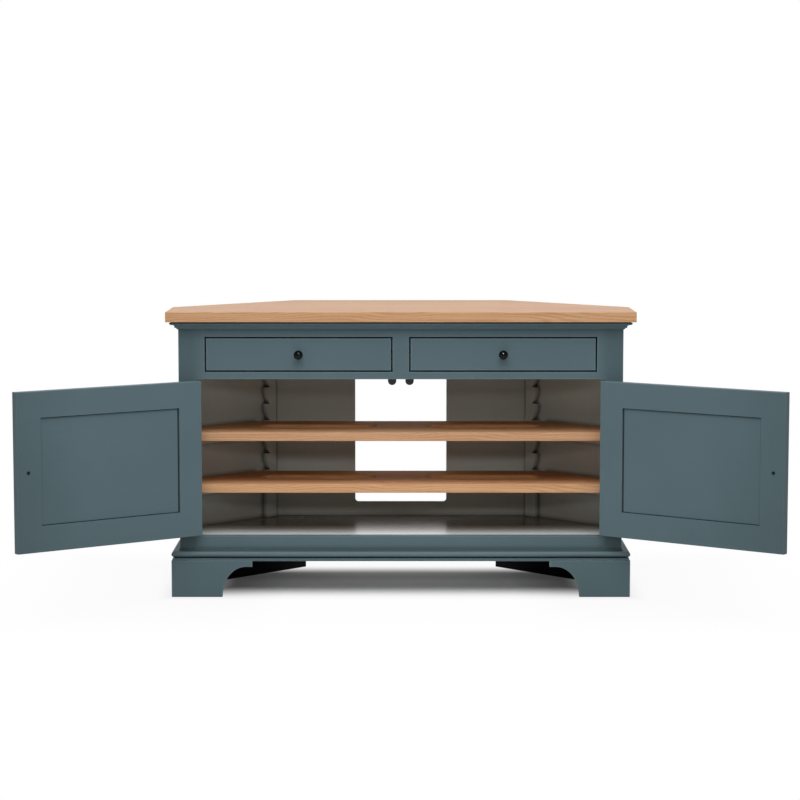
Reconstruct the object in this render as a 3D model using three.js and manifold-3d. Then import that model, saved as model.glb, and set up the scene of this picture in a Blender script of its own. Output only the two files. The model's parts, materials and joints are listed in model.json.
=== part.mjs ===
// Corner television cabinet: a painted carcass with two 45 degree walls that run back into the corner, an oak
// top, two framed doors on butt hinges, two drawers and two oak shelves on sawtooth battens.
// Lengths are millimetres. X runs across the front, Y from the face frame back to the corner, and Z up.

import * as THREE from 'three';
import { mergeVertices } from 'three/addons/utils/BufferGeometryUtils.js';
import Module from 'manifold-3d';

const wasm = await Module();
wasm.setup();

// Carcass plan
const carcassWidth = 1092;
const carcassDepth = 421;
const bendDepth = 154.3;
const boardThickness = 20;
const backPanelThickness = 9;
const cableVoidDepth = 75;
const glueLine = 0.3;
const cutOverrun = 5;

// Heights of the front, from the floor up
const bottomRailBase = 89.5;
const bottomRailHeight = 60.6;
const doorOpeningHeight = 388.4;
const middleRailHeight = 18.3;
const drawerOpeningHeight = 85.7;
const topRailHeight = 38;
const topThickness = 25.1;
const floorPanelThickness = 18;

// Face frame, with the arris that its doors and drawer fronts share
const frameThickness = 20;
const frontArris = 1.2;
const doorStileWidth = 44;
const drawerStileWidth = 64.4;
const dividerWidth = 41;

// Oak top
const topFrontOverhang = 30;
const topSideOverhang = 29;
const topWallOverhang = 31.9;
const topRearOverhang = 45.7;
const topArris = 1;
const wallReveal = 2;

// Rear tie rail and the cable cut-out in the back panel
const rearRailHeight = 80;
const cutoutWidth = 237;
const cutoutBase = 187;
const cutoutTopMargin = 13;
const cutoutCorner = 8;

// Plinth with bracket feet
const plinthThickness = 20;
const plinthHeight = 96;
const plinthArris = 1.5;
const plinthSpanBase = 89.5;
const plinthStepDepth = 2.5;
const plinthStepHeight = 5;
const footWidth = 125;
const footCoveWidth = 58;
const footCoveHeight = 75;
const footLedgeWidth = 16;

// Base moulding, from the plinth up to the face frame
const baseMouldingHeight = 22;
const baseMouldingProjection = 20;
const baseNeckProjection = 15;
const baseNeckHeight = 3;
const baseNoseHeight = 12.6;
const baseCoveProjection = 6;
const baseFilletProjection = 1;

// Cornice under the oak top
const corniceHeight = 19;
const corniceProjection = 20.5;
const corniceFasciaHeight = 2.6;
const corniceOvoloWidth = 7;
const corniceOvoloHeight = 5;
const corniceFilletProjection = 8.3;
const corniceFilletHeight = 2;
const corniceBeadProjection = 4.1;
const corniceBeadHeight = 4.2;

// Doors
const doorThickness = 20;
const doorHingeGap = 2;
const doorMeetingGap = 3;
const doorTopGap = 2.4;
const doorBottomGap = 4.2;
const doorFrameWidth = 62.7;
const doorPanelThickness = 9;
const doorPanelRecess = 7;
const doorPanelTongue = 8;
const panelClearance = 0.5;
const doorOpenAngle = THREE.MathUtils.degToRad(145);

// Butt hinges
const hingeHeight = 50;
const hingeEndDistance = 62;
const hingeLeafDepth = 17;
const hingeLeafThickness = 1.6;
const hingeBarrelRadius = 4;
const hingeBarrelClearance = 0.3;
const hingePinRadius = 1.6;
const hingePinClearance = 0.1;
const hingeRecessClearance = 0.3;

// Knobs and the nuts on their studs
const knobRadius = 11.3;
const knobLength = 26;
const knobRosetteRadius = 6.6;
const knobRosetteThickness = 2.4;
const knobNeckRadius = 4.2;
const knobNeckLength = 8;
const knobStudRadius = 2;
const knobStudClearance = 0.4;
const knobEdgeDistance = 29.3;
const knobNutRadius = 3.6;
const knobNutThickness = 1.6;

// Drawers
const drawerFrontThickness = 20;
const drawerFrontGap = 3.2;
const drawerSideThickness = 12;
const drawerSideHeight = 66;
const drawerBottomThickness = 6;
const drawerBottomRise = 8;
const drawerGrooveDepth = 5;
const drawerSideInset = 1;
const drawerRunningGap = 0.4;
const drawerGuideClearance = 1.5;
const drawerGuideHeight = 40;
const drawerGuideWidth = 18;
const drawerGuideSetback = 60;
const drawerRearClearance = 8;

// Shelves
const shelfThickness = 21;
const shelfSetback = 27;
const shelfArris = 1;
const shelfSideGap = 2;
const shelfWallGap = 2.5;
const shelfBattenGap = 11.6;
const slotLength = 291;
const slotWidth = 70;
const slotInnerDistance = 62;
const slotCentreDepth = 175;

// Sawtooth battens and the cleats that sit on their teeth
const battenWidth = 34;
const battenThickness = 16;
const toothDepth = 10;
const toothPitch = 43.1;
const toothNoseShare = 0.36;
const toothKerfHeight = 3;
const toothKerfDepth = 1.5;
const firstLedgeHeight = 230.6;
const frontBattenTipGap = 10;
const cleatHeight = 22;
const cleatThickness = 16;
const lowerShelfTooth = 0;
const upperShelfTooth = 3;

// Door catches
const catchWidth = 20.7;
const catchDrop = 16.4;
const catchDepth = 12;
const catchCentre = 21.5;
const catchDoorGap = 1;

// Steps round a knob, round a small pin, and along a quarter of a small curve or a broad one
const knobSteps = 28;
const pinSteps = 20;
const quarterSteps = 6;
const broadQuarterSteps = 14;

// Sizes that follow from those above
const halfWidth = carcassWidth / 2;
const wallLine = halfWidth + bendDepth;
const topLine = wallLine + topWallOverhang * Math.SQRT2;
const returnLine = topLine - wallReveal * Math.SQRT2;
const innerSide = halfWidth - boardThickness;
const innerLine = wallLine - boardThickness * Math.SQRT2;
const innerCornerDepth = innerLine - innerSide;
const backPanelFront = carcassDepth - cableVoidDepth - backPanelThickness;
const backPanelRear = carcassDepth - cableVoidDepth;
const cupboardFloor = bottomRailBase + bottomRailHeight;
const doorHead = cupboardFloor + doorOpeningHeight;
const deckTop = doorHead + middleRailHeight;
const drawerHead = deckTop + drawerOpeningHeight;
const carcassTop = drawerHead + topRailHeight;
const doorOpeningHalf = halfWidth - doorStileWidth;
const drawerOpeningEnd = halfWidth - drawerStileWidth;
const drawerOpeningStart = dividerWidth / 2;
const behindFrame = frameThickness + glueLine;

const paint = new THREE.MeshStandardMaterial({ color: 0x55676c, roughness: 0.5, metalness: 0 });
const innerPaint = new THREE.MeshStandardMaterial({ color: 0xb0aaa0, roughness: 0.5, metalness: 0 });
const oak = new THREE.MeshStandardMaterial({ color: 0xd8b99e, roughness: 0.6, metalness: 0 });
const bronze = new THREE.MeshStandardMaterial({ color: 0x19201f, roughness: 0.35, metalness: 0.8 });
const steel = new THREE.MeshStandardMaterial({ color: 0x8d8f90, roughness: 0.35, metalness: 1 });
const plastic = new THREE.MeshStandardMaterial({ color: 0x41423e, roughness: 0.5, metalness: 0 });

function positionsOnly(geometry) {
  const bare = geometry.clone();
  bare.deleteAttribute('normal');
  bare.deleteAttribute('uv');
  return bare;
}

// A closed geometry with shared corners, as the solid that cuts and joins work on.
function solidOf(geometry) {
  const merged = mergeVertices(positionsOnly(geometry));
  const mesh = new wasm.Mesh({
    numProp: 3,
    vertProperties: new Float32Array(merged.attributes.position.array),
    triVerts: new Uint32Array(merged.index.array),
  });
  return new wasm.Manifold(mesh);
}

function geometryOf(solid) {
  const mesh = solid.getMesh();
  const geometry = new THREE.BufferGeometry();
  geometry.setAttribute('position', new THREE.BufferAttribute(mesh.vertProperties, 3));
  geometry.setIndex(new THREE.BufferAttribute(mesh.triVerts, 1));
  return geometry;
}

function cut(geometry, ...tools) {
  return geometryOf(tools.reduce((solid, tool) => solid.subtract(solidOf(tool)), solidOf(geometry)));
}

function join(first, ...others) {
  return geometryOf(others.reduce((solid, other) => solid.add(solidOf(other)), solidOf(first)));
}

// The same piece for the other side of the cabinet, its faces turned so that they still point out.
function mirrored(geometry) {
  const copy = mergeVertices(positionsOnly(geometry));
  copy.scale(-1, 1, 1);
  const corners = copy.index.array;
  for (let i = 0; i < corners.length; i += 3) {
    [corners[i], corners[i + 1]] = [corners[i + 1], corners[i]];
  }
  return copy;
}

function shapeOf(points) {
  return new THREE.Shape(points.map(([x, y]) => new THREE.Vector2(x, y)));
}

// A board whose outline is drawn in plan, standing from one height to another, with arrises on its two faces.
function planBoard(outline, base, top, arris = 0, steps = quarterSteps) {
  const geometry = extruded(outline, top - base, arris, steps);
  return geometry.translate(0, 0, base);
}

// A board whose outline is drawn as seen from the front, X and Z, between two depths.
function frontBoard(outline, near, far, arris = 0) {
  const geometry = extruded(outline, far - near, arris);
  return geometry.rotateX(Math.PI / 2).translate(0, far, 0);
}

function extruded(outline, depth, arris, steps = quarterSteps) {
  const shape = outline instanceof THREE.Shape ? outline : shapeOf(outline);
  const geometry = new THREE.ExtrudeGeometry(shape, {
    depth: depth - 2 * arris,
    curveSegments: steps,
    bevelEnabled: arris > 0,
    bevelThickness: arris,
    bevelSize: arris,
    bevelOffset: -arris,
    bevelSegments: 1,
  });
  return geometry.translate(0, 0, arris);
}

// A plain rectangular board between two corners.
function block(x0, x1, y0, y1, z0, z1) {
  const geometry = new THREE.BoxGeometry(x1 - x0, y1 - y0, z1 - z0);
  return geometry.translate((x0 + x1) / 2, (y0 + y1) / 2, (z0 + z1) / 2);
}

function rectangle(x0, x1, y0, y1) {
  return [[x0, y0], [x1, y0], [x1, y1], [x0, y1]];
}

function roundedRectangle(x0, x1, y0, y1, radius) {
  const path = new THREE.Shape();
  path.absarc(x0 + radius, y0 + radius, radius, Math.PI, Math.PI * 1.5);
  path.absarc(x1 - radius, y0 + radius, radius, Math.PI * 1.5, Math.PI * 2);
  path.absarc(x1 - radius, y1 - radius, radius, 0, Math.PI / 2);
  path.absarc(x0 + radius, y1 - radius, radius, Math.PI / 2, Math.PI);
  return path;
}

// A round rod along Z between two heights.
function rod(x, y, radius, base, top, steps) {
  const geometry = new THREE.CylinderGeometry(radius, radius, top - base, steps);
  return geometry.rotateX(Math.PI / 2).translate(x, y, (base + top) / 2);
}

// The outline, in plan, of a board that lies between the side returns and the angled walls from one depth to
// another, kept clear of the returns by one clearance and of the walls by the other.
function betweenWalls(near, far, sideClearance, wallClearance) {
  const side = innerSide - sideClearance;
  const line = innerLine - wallClearance * Math.SQRT2;
  const right = [[Math.min(side, line - near), near]];
  const bend = line - side;
  if (bend > near && bend < far) right.push([side, bend]);
  right.push([Math.min(side, line - far), far]);
  const left = right.map(([x, y]) => [-x, y]).reverse();
  return [...right, ...left];
}

// A moulding that runs along both returns and across the front, mitred at the two corners and cut at 45
// degrees at its rear ends. Its section is a list of [projection from the carcass, height] going round so
// that the carcass side comes last.
function wrappedMoulding(section) {
  const stations = [
    ([p]) => [-(halfWidth + p), returnLine - halfWidth - p],
    ([p]) => [-(halfWidth + p), -p],
    ([p]) => [halfWidth + p, -p],
    ([p]) => [halfWidth + p, returnLine - halfWidth - p],
  ];
  const positions = stations.flatMap((place) => section.flatMap((point) => [...place(point), point[1]]));
  const count = section.length;
  const index = [];
  for (let run = 0; run + 1 < stations.length; run += 1) {
    for (let i = 0; i < count; i += 1) {
      const a = run * count + i;
      const b = run * count + ((i + 1) % count);
      index.push(a, a + count, b, b, a + count, b + count);
    }
  }
  const last = (stations.length - 1) * count;
  const contour = section.map(([p, z]) => new THREE.Vector2(p, z));
  for (const [a, b, c] of THREE.ShapeUtils.triangulateShape(contour, [])) {
    index.push(a, b, c, last + a, last + c, last + b);
  }
  const geometry = new THREE.BufferGeometry();
  geometry.setAttribute('position', new THREE.Float32BufferAttribute(positions, 3));
  geometry.setIndex(index);
  return geometry;
}

// Points along an elliptical arc in the plane of a section, angles in quarter turns.
function arc(centreX, centreY, radiusX, radiusY, from, to, stepsPerQuarter = quarterSteps) {
  const steps = Math.ceil(Math.abs(to - from) * stepsPerQuarter);
  return Array.from({ length: steps + 1 }, (_, i) => {
    const angle = (from + ((to - from) * i) / steps) * (Math.PI / 2);
    return [centreX + radiusX * Math.cos(angle), centreY + radiusY * Math.sin(angle)];
  });
}

const cabinet = new THREE.Group();

function place(name, geometry, material, parent = cabinet) {
  const mesh = new THREE.Mesh(geometry, material.clone());
  mesh.name = name;
  parent.add(mesh);
  return mesh;
}

// A piece drawn on the right, and its mirror image on the left.
function placePair(name, geometry, material) {
  place(`${name}_right`, geometry, material);
  place(`${name}_left`, mirrored(geometry), material);
}

// Oak top: square to the front, cut back at 45 degrees to the corner
const topBase = carcassTop;
const topTop = carcassTop + topThickness;
const topHalf = halfWidth + topSideOverhang;
const topRear = carcassDepth + topRearOverhang;
const topOutline = [
  [-topHalf, -topFrontOverhang],
  [topHalf, -topFrontOverhang],
  [topHalf, topLine - topHalf],
  [topLine - topRear, topRear],
  [topRear - topLine, topRear],
  [-topHalf, topLine - topHalf],
];
place('top_board', planBoard(topOutline, topBase, topTop, topArris), oak);

// Carcass sides: short returns that run back to the room's walls, and angled walls that butt against them
const sideTop = carcassTop - glueLine;
const returnOutline = [
  [innerSide, behindFrame],
  [halfWidth, behindFrame],
  [halfWidth, returnLine - halfWidth],
  [innerSide, returnLine - innerSide],
];
placePair('side_return', planBoard(returnOutline, 0, sideTop), paint);
const wallEnd = innerSide - glueLine;
const wallOutline = [
  [wallEnd, wallLine - wallEnd],
  [wallLine - carcassDepth, carcassDepth],
  [innerLine - carcassDepth, carcassDepth],
  [wallEnd, innerLine - wallEnd],
];
placePair('angled_wall', planBoard(wallOutline, 0, sideTop), paint);

// Floor, drawer deck, back panel and the rail that ties the walls behind it
const floorOutline = betweenWalls(behindFrame, backPanelRear, glueLine, glueLine);
const floorBase = cupboardFloor - floorPanelThickness;
place('floor_panel', planBoard(floorOutline, floorBase, cupboardFloor), innerPaint);
const deckOutline = betweenWalls(behindFrame, backPanelFront - glueLine, glueLine, glueLine);
place('drawer_deck', planBoard(deckOutline, doorHead, deckTop), innerPaint);
const backOutline = betweenWalls(backPanelFront, backPanelRear, glueLine, glueLine);
const backBoard = planBoard(backOutline, cupboardFloor + glueLine, sideTop);
const cutoutHalf = cutoutWidth / 2;
const cutoutTop = doorHead - cutoutTopMargin;
const cutoutShape = roundedRectangle(-cutoutHalf, cutoutHalf, cutoutBase, cutoutTop, cutoutCorner);
const cutoutTool = frontBoard(cutoutShape, backPanelFront - cutOverrun, backPanelRear + cutOverrun);
place('back_panel', cut(backBoard, cutoutTool), innerPaint);
const rearRailOutline = betweenWalls(carcassDepth - boardThickness, carcassDepth, glueLine, glueLine);
place('rear_rail', planBoard(rearRailOutline, sideTop - rearRailHeight, sideTop), paint);

// Hinges, worked out before the stiles and doors because both are recessed for their leaves
const hingeAxisX = doorOpeningHalf - doorHingeGap / 2;
const hingeAxisY = -(hingeBarrelRadius + hingeBarrelClearance);
const doorBase = cupboardFloor + doorBottomGap;
const doorTop = doorHead - doorTopGap;
const hingeCentres = {
  lower: doorBase + hingeEndDistance,
  upper: doorTop - hingeEndDistance,
};
const knuckleHeight = hingeHeight / 3;

// One leaf of a hinge with its knuckles: a plate from the barrel back into its recess.
function hingeLeaf(edge, direction, centre, knuckles) {
  const back = edge + direction * hingeLeafThickness;
  const base = centre - hingeHeight / 2;
  const near = hingeAxisY + hingePinRadius + hingePinClearance;
  const top = base + hingeHeight;
  const plate = block(Math.min(edge, back), Math.max(edge, back), near, hingeLeafDepth, base, top);
  const barrels = knuckles.map((k) => rod(hingeAxisX, hingeAxisY, hingeBarrelRadius,
    base + k * knuckleHeight, base + (k + 1) * knuckleHeight, pinSteps));
  const others = [0, 1, 2].filter((k) => !knuckles.includes(k));
  const spaces = others.map((k) => rod(hingeAxisX, hingeAxisY, hingeBarrelRadius + hingeBarrelClearance,
    base + k * knuckleHeight - hingeBarrelClearance, base + (k + 1) * knuckleHeight + hingeBarrelClearance,
    pinSteps));
  return cut(join(plate, ...barrels), ...spaces);
}

// The recess cut in a stile's or door's edge for a leaf, open at the front.
function leafRecess(edge, direction, centre) {
  const deep = edge + direction * (hingeLeafThickness + hingeRecessClearance);
  const open = edge - direction * cutOverrun;
  const half = hingeHeight / 2 + hingeRecessClearance;
  return block(Math.min(deep, open), Math.max(deep, open), -cutOverrun, hingeLeafDepth + hingeRecessClearance,
    centre - half, centre + half);
}

// Face frame
const stileOutline = [
  [doorOpeningHalf, bottomRailBase],
  [halfWidth, bottomRailBase],
  [halfWidth, sideTop],
  [drawerOpeningEnd, sideTop],
  [drawerOpeningEnd, doorHead],
  [doorOpeningHalf, doorHead],
];
const stileRecesses = Object.values(hingeCentres).map((z) => leafRecess(doorOpeningHalf, 1, z));
placePair('stile', cut(frontBoard(stileOutline, 0, frameThickness), ...stileRecesses), paint);
const doorRailEnd = doorOpeningHalf - glueLine;
const drawerRailEnd = drawerOpeningEnd - glueLine;
const rail = (end, base, top) => block(-end, end, 0, frameThickness, base, top);
place('bottom_rail', rail(doorRailEnd, bottomRailBase, cupboardFloor), paint);
place('middle_rail', rail(drawerRailEnd, doorHead, deckTop), paint);
place('top_rail', rail(drawerRailEnd, drawerHead, sideTop), paint);
place('drawer_divider', block(-drawerOpeningStart, drawerOpeningStart, 0, frameThickness,
  deckTop + glueLine, drawerHead - glueLine), paint);

// Plinth: a front board cut into bracket feet, and returns, all with a small step along the top edge
const plinthHalf = halfWidth + plinthThickness;
const footInner = plinthHalf - footWidth;
const coveInner = footInner - footCoveWidth;
const ledgeInner = coveInner - footLedgeWidth;
const footCurve = arc(coveInner, 0, footCoveWidth, footCoveHeight, 1, 0, broadQuarterSteps);
const rightFoot = [[ledgeInner, plinthSpanBase], [ledgeInner, footCoveHeight], ...footCurve, [plinthHalf, 0]];
const leftFoot = rightFoot.map(([x, z]) => [-x, z]).reverse();
const plinthOutline = [...leftFoot, ...rightFoot, [plinthHalf, plinthHeight], [-plinthHalf, plinthHeight]];
const plinthStep = (x0, x1, y0, y1) => block(x0, x1, y0, y1, plinthHeight - plinthStepHeight,
  plinthHeight + cutOverrun);
const plinthEndStep = plinthStep(plinthHalf - plinthStepDepth, plinthHalf + cutOverrun,
  -plinthThickness - cutOverrun, returnLine - halfWidth);
const plinthFrontStep = plinthStep(-plinthHalf - cutOverrun, plinthHalf + cutOverrun,
  -plinthThickness - cutOverrun, plinthStepDepth - plinthThickness);
const plinthBoard = frontBoard(plinthOutline, -plinthThickness, -glueLine, plinthArris);
place('plinth_front', cut(plinthBoard, plinthFrontStep, plinthEndStep, mirrored(plinthEndStep)), paint);
const plinthReturnInner = halfWidth + glueLine;
const plinthReturnOutline = [
  [plinthReturnInner, 0],
  [plinthHalf, 0],
  [plinthHalf, returnLine - plinthHalf],
  [plinthReturnInner, returnLine - plinthReturnInner],
];
placePair('plinth_return', cut(planBoard(plinthReturnOutline, 0, plinthHeight), plinthEndStep), paint);

// Base moulding: a neck on the plinth, a half-round nose, a flat ledge and a small cove up to the frame
const baseBottom = plinthHeight + glueLine;
const baseTop = baseBottom + baseMouldingHeight;
const noseBase = baseBottom + baseNeckHeight;
const noseTop = noseBase + baseNoseHeight;
const noseRadius = baseNoseHeight / 2;
const noseCentre = baseMouldingProjection - noseRadius;
const baseCoveWidth = baseCoveProjection - baseFilletProjection;
const baseSection = [
  [glueLine, baseBottom],
  [baseNeckProjection, baseBottom],
  [baseNeckProjection, noseBase],
  ...arc(noseCentre, noseBase + noseRadius, noseRadius, noseRadius, -1, 1),
  ...arc(baseCoveProjection, baseTop, baseCoveWidth, baseTop - noseTop, -1, -2),
  [glueLine, baseTop],
];
place('base_moulding', wrappedMoulding(baseSection), paint);

// Cornice: a small quarter bead, a fillet, a cove that turns into an ovolo, and a fascia under the oak top
const corniceTop = carcassTop - glueLine;
const corniceBase = corniceTop - corniceHeight;
const beadTop = corniceBase + corniceBeadHeight;
const filletTop = beadTop + corniceFilletHeight;
const fasciaBase = corniceTop - corniceFasciaHeight;
const ovoloStart = corniceProjection - corniceOvoloWidth;
const corniceCoveHeight = fasciaBase - corniceOvoloHeight - filletTop;
const corniceSection = [
  [glueLine, corniceBase],
  ...arc(glueLine, beadTop, corniceBeadProjection - glueLine, corniceBeadHeight, -1, 0).slice(1),
  [corniceFilletProjection, beadTop],
  ...arc(ovoloStart, filletTop, ovoloStart - corniceFilletProjection, corniceCoveHeight, 2, 1),
  ...arc(ovoloStart, fasciaBase, corniceOvoloWidth, corniceOvoloHeight, -1, 0).slice(1),
  [corniceProjection, corniceTop],
  [glueLine, corniceTop],
];
place('cornice', wrappedMoulding(corniceSection), paint);

// Doors: a frame grooved for a thinner panel, hung on the hinge axis and standing open
const doorEdge = doorOpeningHalf - doorHingeGap;
const doorFree = doorMeetingGap / 2;
const doorHole = [doorFree + doorFrameWidth, doorEdge - doorFrameWidth, doorBase + doorFrameWidth,
  doorTop - doorFrameWidth];
const knobX = doorFree + knobEdgeDistance;
const knobZ = (doorBase + doorTop) / 2;
const grooveFront = doorPanelRecess;
const grooveRear = grooveFront + doorPanelThickness;

// A block over the door's hole, as much larger all round as asked.
function overHole(margin, near, far) {
  const [x0, x1, z0, z1] = doorHole;
  return block(x0 - margin, x1 + margin, near, far, z0 - margin, z1 + margin);
}

function studBore(x, z, near, far) {
  const bore = rod(0, 0, knobStudRadius + knobStudClearance, near, far, pinSteps);
  return bore.rotateX(-Math.PI / 2).translate(x, 0, z);
}

const doorBlank = frontBoard(rectangle(doorFree, doorEdge, doorBase, doorTop), 0, doorThickness, frontArris);
const doorFrame = cut(
  doorBlank,
  overHole(0, -cutOverrun, doorThickness + cutOverrun),
  overHole(doorPanelTongue + panelClearance, grooveFront - glueLine, grooveRear + glueLine),
  studBore(knobX, knobZ, -cutOverrun, doorThickness + cutOverrun),
  ...Object.values(hingeCentres).map((z) => leafRecess(doorEdge, -1, z)),
);
const doorPanel = overHole(doorPanelTongue, grooveFront, grooveRear);

// A turned knob on its stud. The knob points to -Y from the face at depth zero, and the stud runs back.
function knobAt(x, z, studLength) {
  const ballRadius = (knobLength - knobNeckLength - knobRosetteThickness) / 2;
  const ballCentre = knobLength - ballRadius;
  const profile = [
    [0, -studLength],
    [knobStudRadius, -studLength],
    [knobStudRadius, glueLine],
    [knobRosetteRadius, glueLine],
    [knobRosetteRadius, knobRosetteThickness],
    [knobNeckRadius, knobRosetteThickness + glueLine],
    [knobNeckRadius, knobNeckLength],
    ...arc(0, ballCentre, knobRadius, ballRadius, -0.7, 1),
  ];
  profile[profile.length - 1][0] = 0;
  const points = profile.map(([r, h]) => new THREE.Vector2(r, h));
  return new THREE.LatheGeometry(points, knobSteps).rotateX(Math.PI).translate(x, 0, z);
}

// The round nut on the stud, on the inner face of a door.
function knobNut(x, z) {
  const near = doorThickness + glueLine;
  const nut = rod(0, 0, knobNutRadius, near, near + knobNutThickness, pinSteps);
  return nut.rotateX(-Math.PI / 2).translate(x, 0, z);
}

const rightDoorPieces = {
  frame: [doorFrame, paint],
  panel: [doorPanel, paint],
  knob: [knobAt(knobX, knobZ, doorThickness), bronze],
  knob_nut: [knobNut(knobX, knobZ), bronze],
};
for (const [level, centre] of Object.entries(hingeCentres)) {
  const frameLeaf = join(
    hingeLeaf(doorOpeningHalf, 1, centre, [0, 2]),
    rod(hingeAxisX, hingeAxisY, hingePinRadius, centre - hingeHeight / 2, centre + hingeHeight / 2, pinSteps),
  );
  placePair(`hinge_${level}_frame_leaf`, frameLeaf, steel);
  const pinBore = rod(hingeAxisX, hingeAxisY, hingePinRadius + hingePinClearance,
    centre - hingeHeight, centre + hingeHeight, pinSteps);
  rightDoorPieces[`hinge_${level}_leaf`] = [cut(hingeLeaf(doorEdge, -1, centre, [1]), pinBore), steel];
}

// A door's group stands on its hinge axis, turned open, and holds the pieces drawn shut.
for (const [side, sign] of [['right', 1], ['left', -1]]) {
  const door = new THREE.Group();
  door.position.set(sign * hingeAxisX, hingeAxisY, 0);
  door.rotation.z = sign * doorOpenAngle;
  cabinet.add(door);
  for (const [name, [geometry, material]] of Object.entries(rightDoorPieces)) {
    const shut = sign > 0 ? geometry.clone() : mirrored(geometry);
    place(`door_${side}_${name}`, shut.translate(-sign * hingeAxisX, -hingeAxisY, 0), material, door);
  }
}

// Drawers: a front with a knob, a box that stops short of the angled wall, and a bottom in its groove
const frontStart = drawerOpeningStart + drawerFrontGap;
const frontEnd = drawerOpeningEnd - drawerFrontGap;
const frontBase = deckTop + drawerFrontGap;
const frontTop = drawerHead - drawerFrontGap;
const boxStart = frontStart + drawerSideInset;
const boxEnd = frontEnd - drawerSideInset;
const boxBase = deckTop + drawerRunningGap;
const boxTop = boxBase + drawerSideHeight;
const boxFront = drawerFrontThickness + glueLine;
const boxRear = innerLine - boxEnd - drawerRearClearance;
const drawerKnobX = (drawerOpeningStart + drawerOpeningEnd) / 2;
const drawerKnobZ = (frontBase + frontTop) / 2;
const drawerBoard = frontBoard(rectangle(frontStart, frontEnd, frontBase, frontTop), 0, drawerFrontThickness,
  frontArris);
placePair('drawer_front', cut(drawerBoard, studBore(drawerKnobX, drawerKnobZ, -cutOverrun,
  drawerFrontThickness + cutOverrun)), paint);
placePair('drawer_knob', knobAt(drawerKnobX, drawerKnobZ, drawerFrontThickness), bronze);
const boxInner = [boxStart + drawerSideThickness, boxEnd - drawerSideThickness,
  boxFront + drawerSideThickness, boxRear - drawerSideThickness];
const bottomBase = boxBase + drawerBottomRise;
const bottomTop = bottomBase + drawerBottomThickness;

// A block over the drawer's inside, as much larger all round as asked.
function overDrawer(margin, base, top) {
  const [x0, x1, y0, y1] = boxInner;
  return block(x0 - margin, x1 + margin, y0 - margin, y1 + margin, base, top);
}

const drawerBox = cut(
  block(boxStart, boxEnd, boxFront, boxRear, boxBase, boxTop),
  overDrawer(0, boxBase - cutOverrun, boxTop + cutOverrun),
  overDrawer(drawerGrooveDepth + glueLine, bottomBase - glueLine, bottomTop + glueLine),
);
placePair('drawer_box', drawerBox, oak);
placePair('drawer_bottom', overDrawer(drawerGrooveDepth, bottomBase, bottomTop), oak);

// Guides on the deck that keep the drawers straight, set back so that the gaps round the fronts stay dark
const guideFront = behindFrame + drawerGuideSetback;
const guideBase = deckTop + glueLine;
const guideTop = guideBase + drawerGuideHeight;
const centreGuideHalf = boxStart - drawerGuideClearance;
const guideStart = boxEnd + drawerGuideClearance;
const guideRear = innerLine - guideStart - drawerGuideWidth - drawerRearClearance;
place('drawer_guide_centre', block(-centreGuideHalf, centreGuideHalf, guideFront, boxRear, guideBase,
  guideTop), oak);
placePair('drawer_guide', block(guideStart, guideStart + drawerGuideWidth, guideFront, guideRear, guideBase,
  guideTop), oak);

// Sawtooth battens. Ledge heights are counted up from the lowest tooth to the last that clears the deck.
const battenBase = cupboardFloor + glueLine;
const battenTop = doorHead - glueLine;
const toothCount = Math.floor((battenTop - firstLedgeHeight) / toothPitch);
const ledgeHeight = (tooth) => firstLedgeHeight + tooth * toothPitch;
const toothRoot = battenWidth - toothDepth;
const noseRise = toothPitch * (1 - toothNoseShare);

// The outline of a batten, its teeth pointing along the first coordinate and its straight edge at zero. Above
// each ledge the wood is cut in by a saw kerf, then slopes out to the upright nose of the next tooth.
function battenOutline() {
  const teeth = Array.from({ length: toothCount }, (_, tooth) => [
    [battenWidth, ledgeHeight(tooth)],
    [toothRoot - toothKerfDepth, ledgeHeight(tooth)],
    [toothRoot - toothKerfDepth, ledgeHeight(tooth) + toothKerfHeight],
    [toothRoot, ledgeHeight(tooth) + toothKerfHeight],
    [battenWidth, ledgeHeight(tooth) + noseRise],
  ]);
  return [[0, battenBase], [battenWidth, battenBase], ...teeth.flat(), [battenWidth, battenTop],
    [0, battenTop]];
}

// The space that a batten takes above one ledge, a glue line larger, for cutting the end of a cleat.
function battenSpace(tooth) {
  const low = ledgeHeight(tooth);
  const root = toothRoot + glueLine;
  const tip = root + toothDepth;
  const high = low + toothPitch;
  return [[-battenWidth, low], [root, low], [root, low + toothKerfHeight], [tip, low + noseRise], [tip, high],
    [-battenWidth, high]];
}

// Turns an outline drawn as [distance along, height] into a slab: it starts at an origin in plan, runs along
// a direction, and is as thick as given towards the right of that direction.
function standing(outline, thickness, [x, y], [dx, dy]) {
  const slab = extruded(outline, thickness, 0);
  const frame = new THREE.Matrix4().makeBasis(
    new THREE.Vector3(dx, dy, 0),
    new THREE.Vector3(0, 0, 1),
    new THREE.Vector3(dy, -dx, 0),
  );
  return slab.applyMatrix4(frame.setPosition(x, y, 0));
}

// The rear batten stands in the corner of the angled wall and the back panel, its teeth facing forward.
// The front one stands on the side return just before the angled wall, its teeth facing back.
const rearCorner = [innerLine - backPanelFront, backPanelFront - glueLine * Math.SQRT2];
const downTheWall = [Math.SQRT1_2, -Math.SQRT1_2];
const offTheWall = [-Math.SQRT1_2, -Math.SQRT1_2];
const frontBattenX = innerSide - glueLine - battenThickness;
const frontCorner = [frontBattenX, innerCornerDepth - frontBattenTipGap - battenWidth];
const straightBack = [0, 1];
placePair('rear_batten', standing(battenOutline(), battenThickness, rearCorner, downTheWall), innerPaint);
placePair('front_batten', standing(battenOutline(), battenThickness, frontCorner, straightBack), innerPaint);

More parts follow.
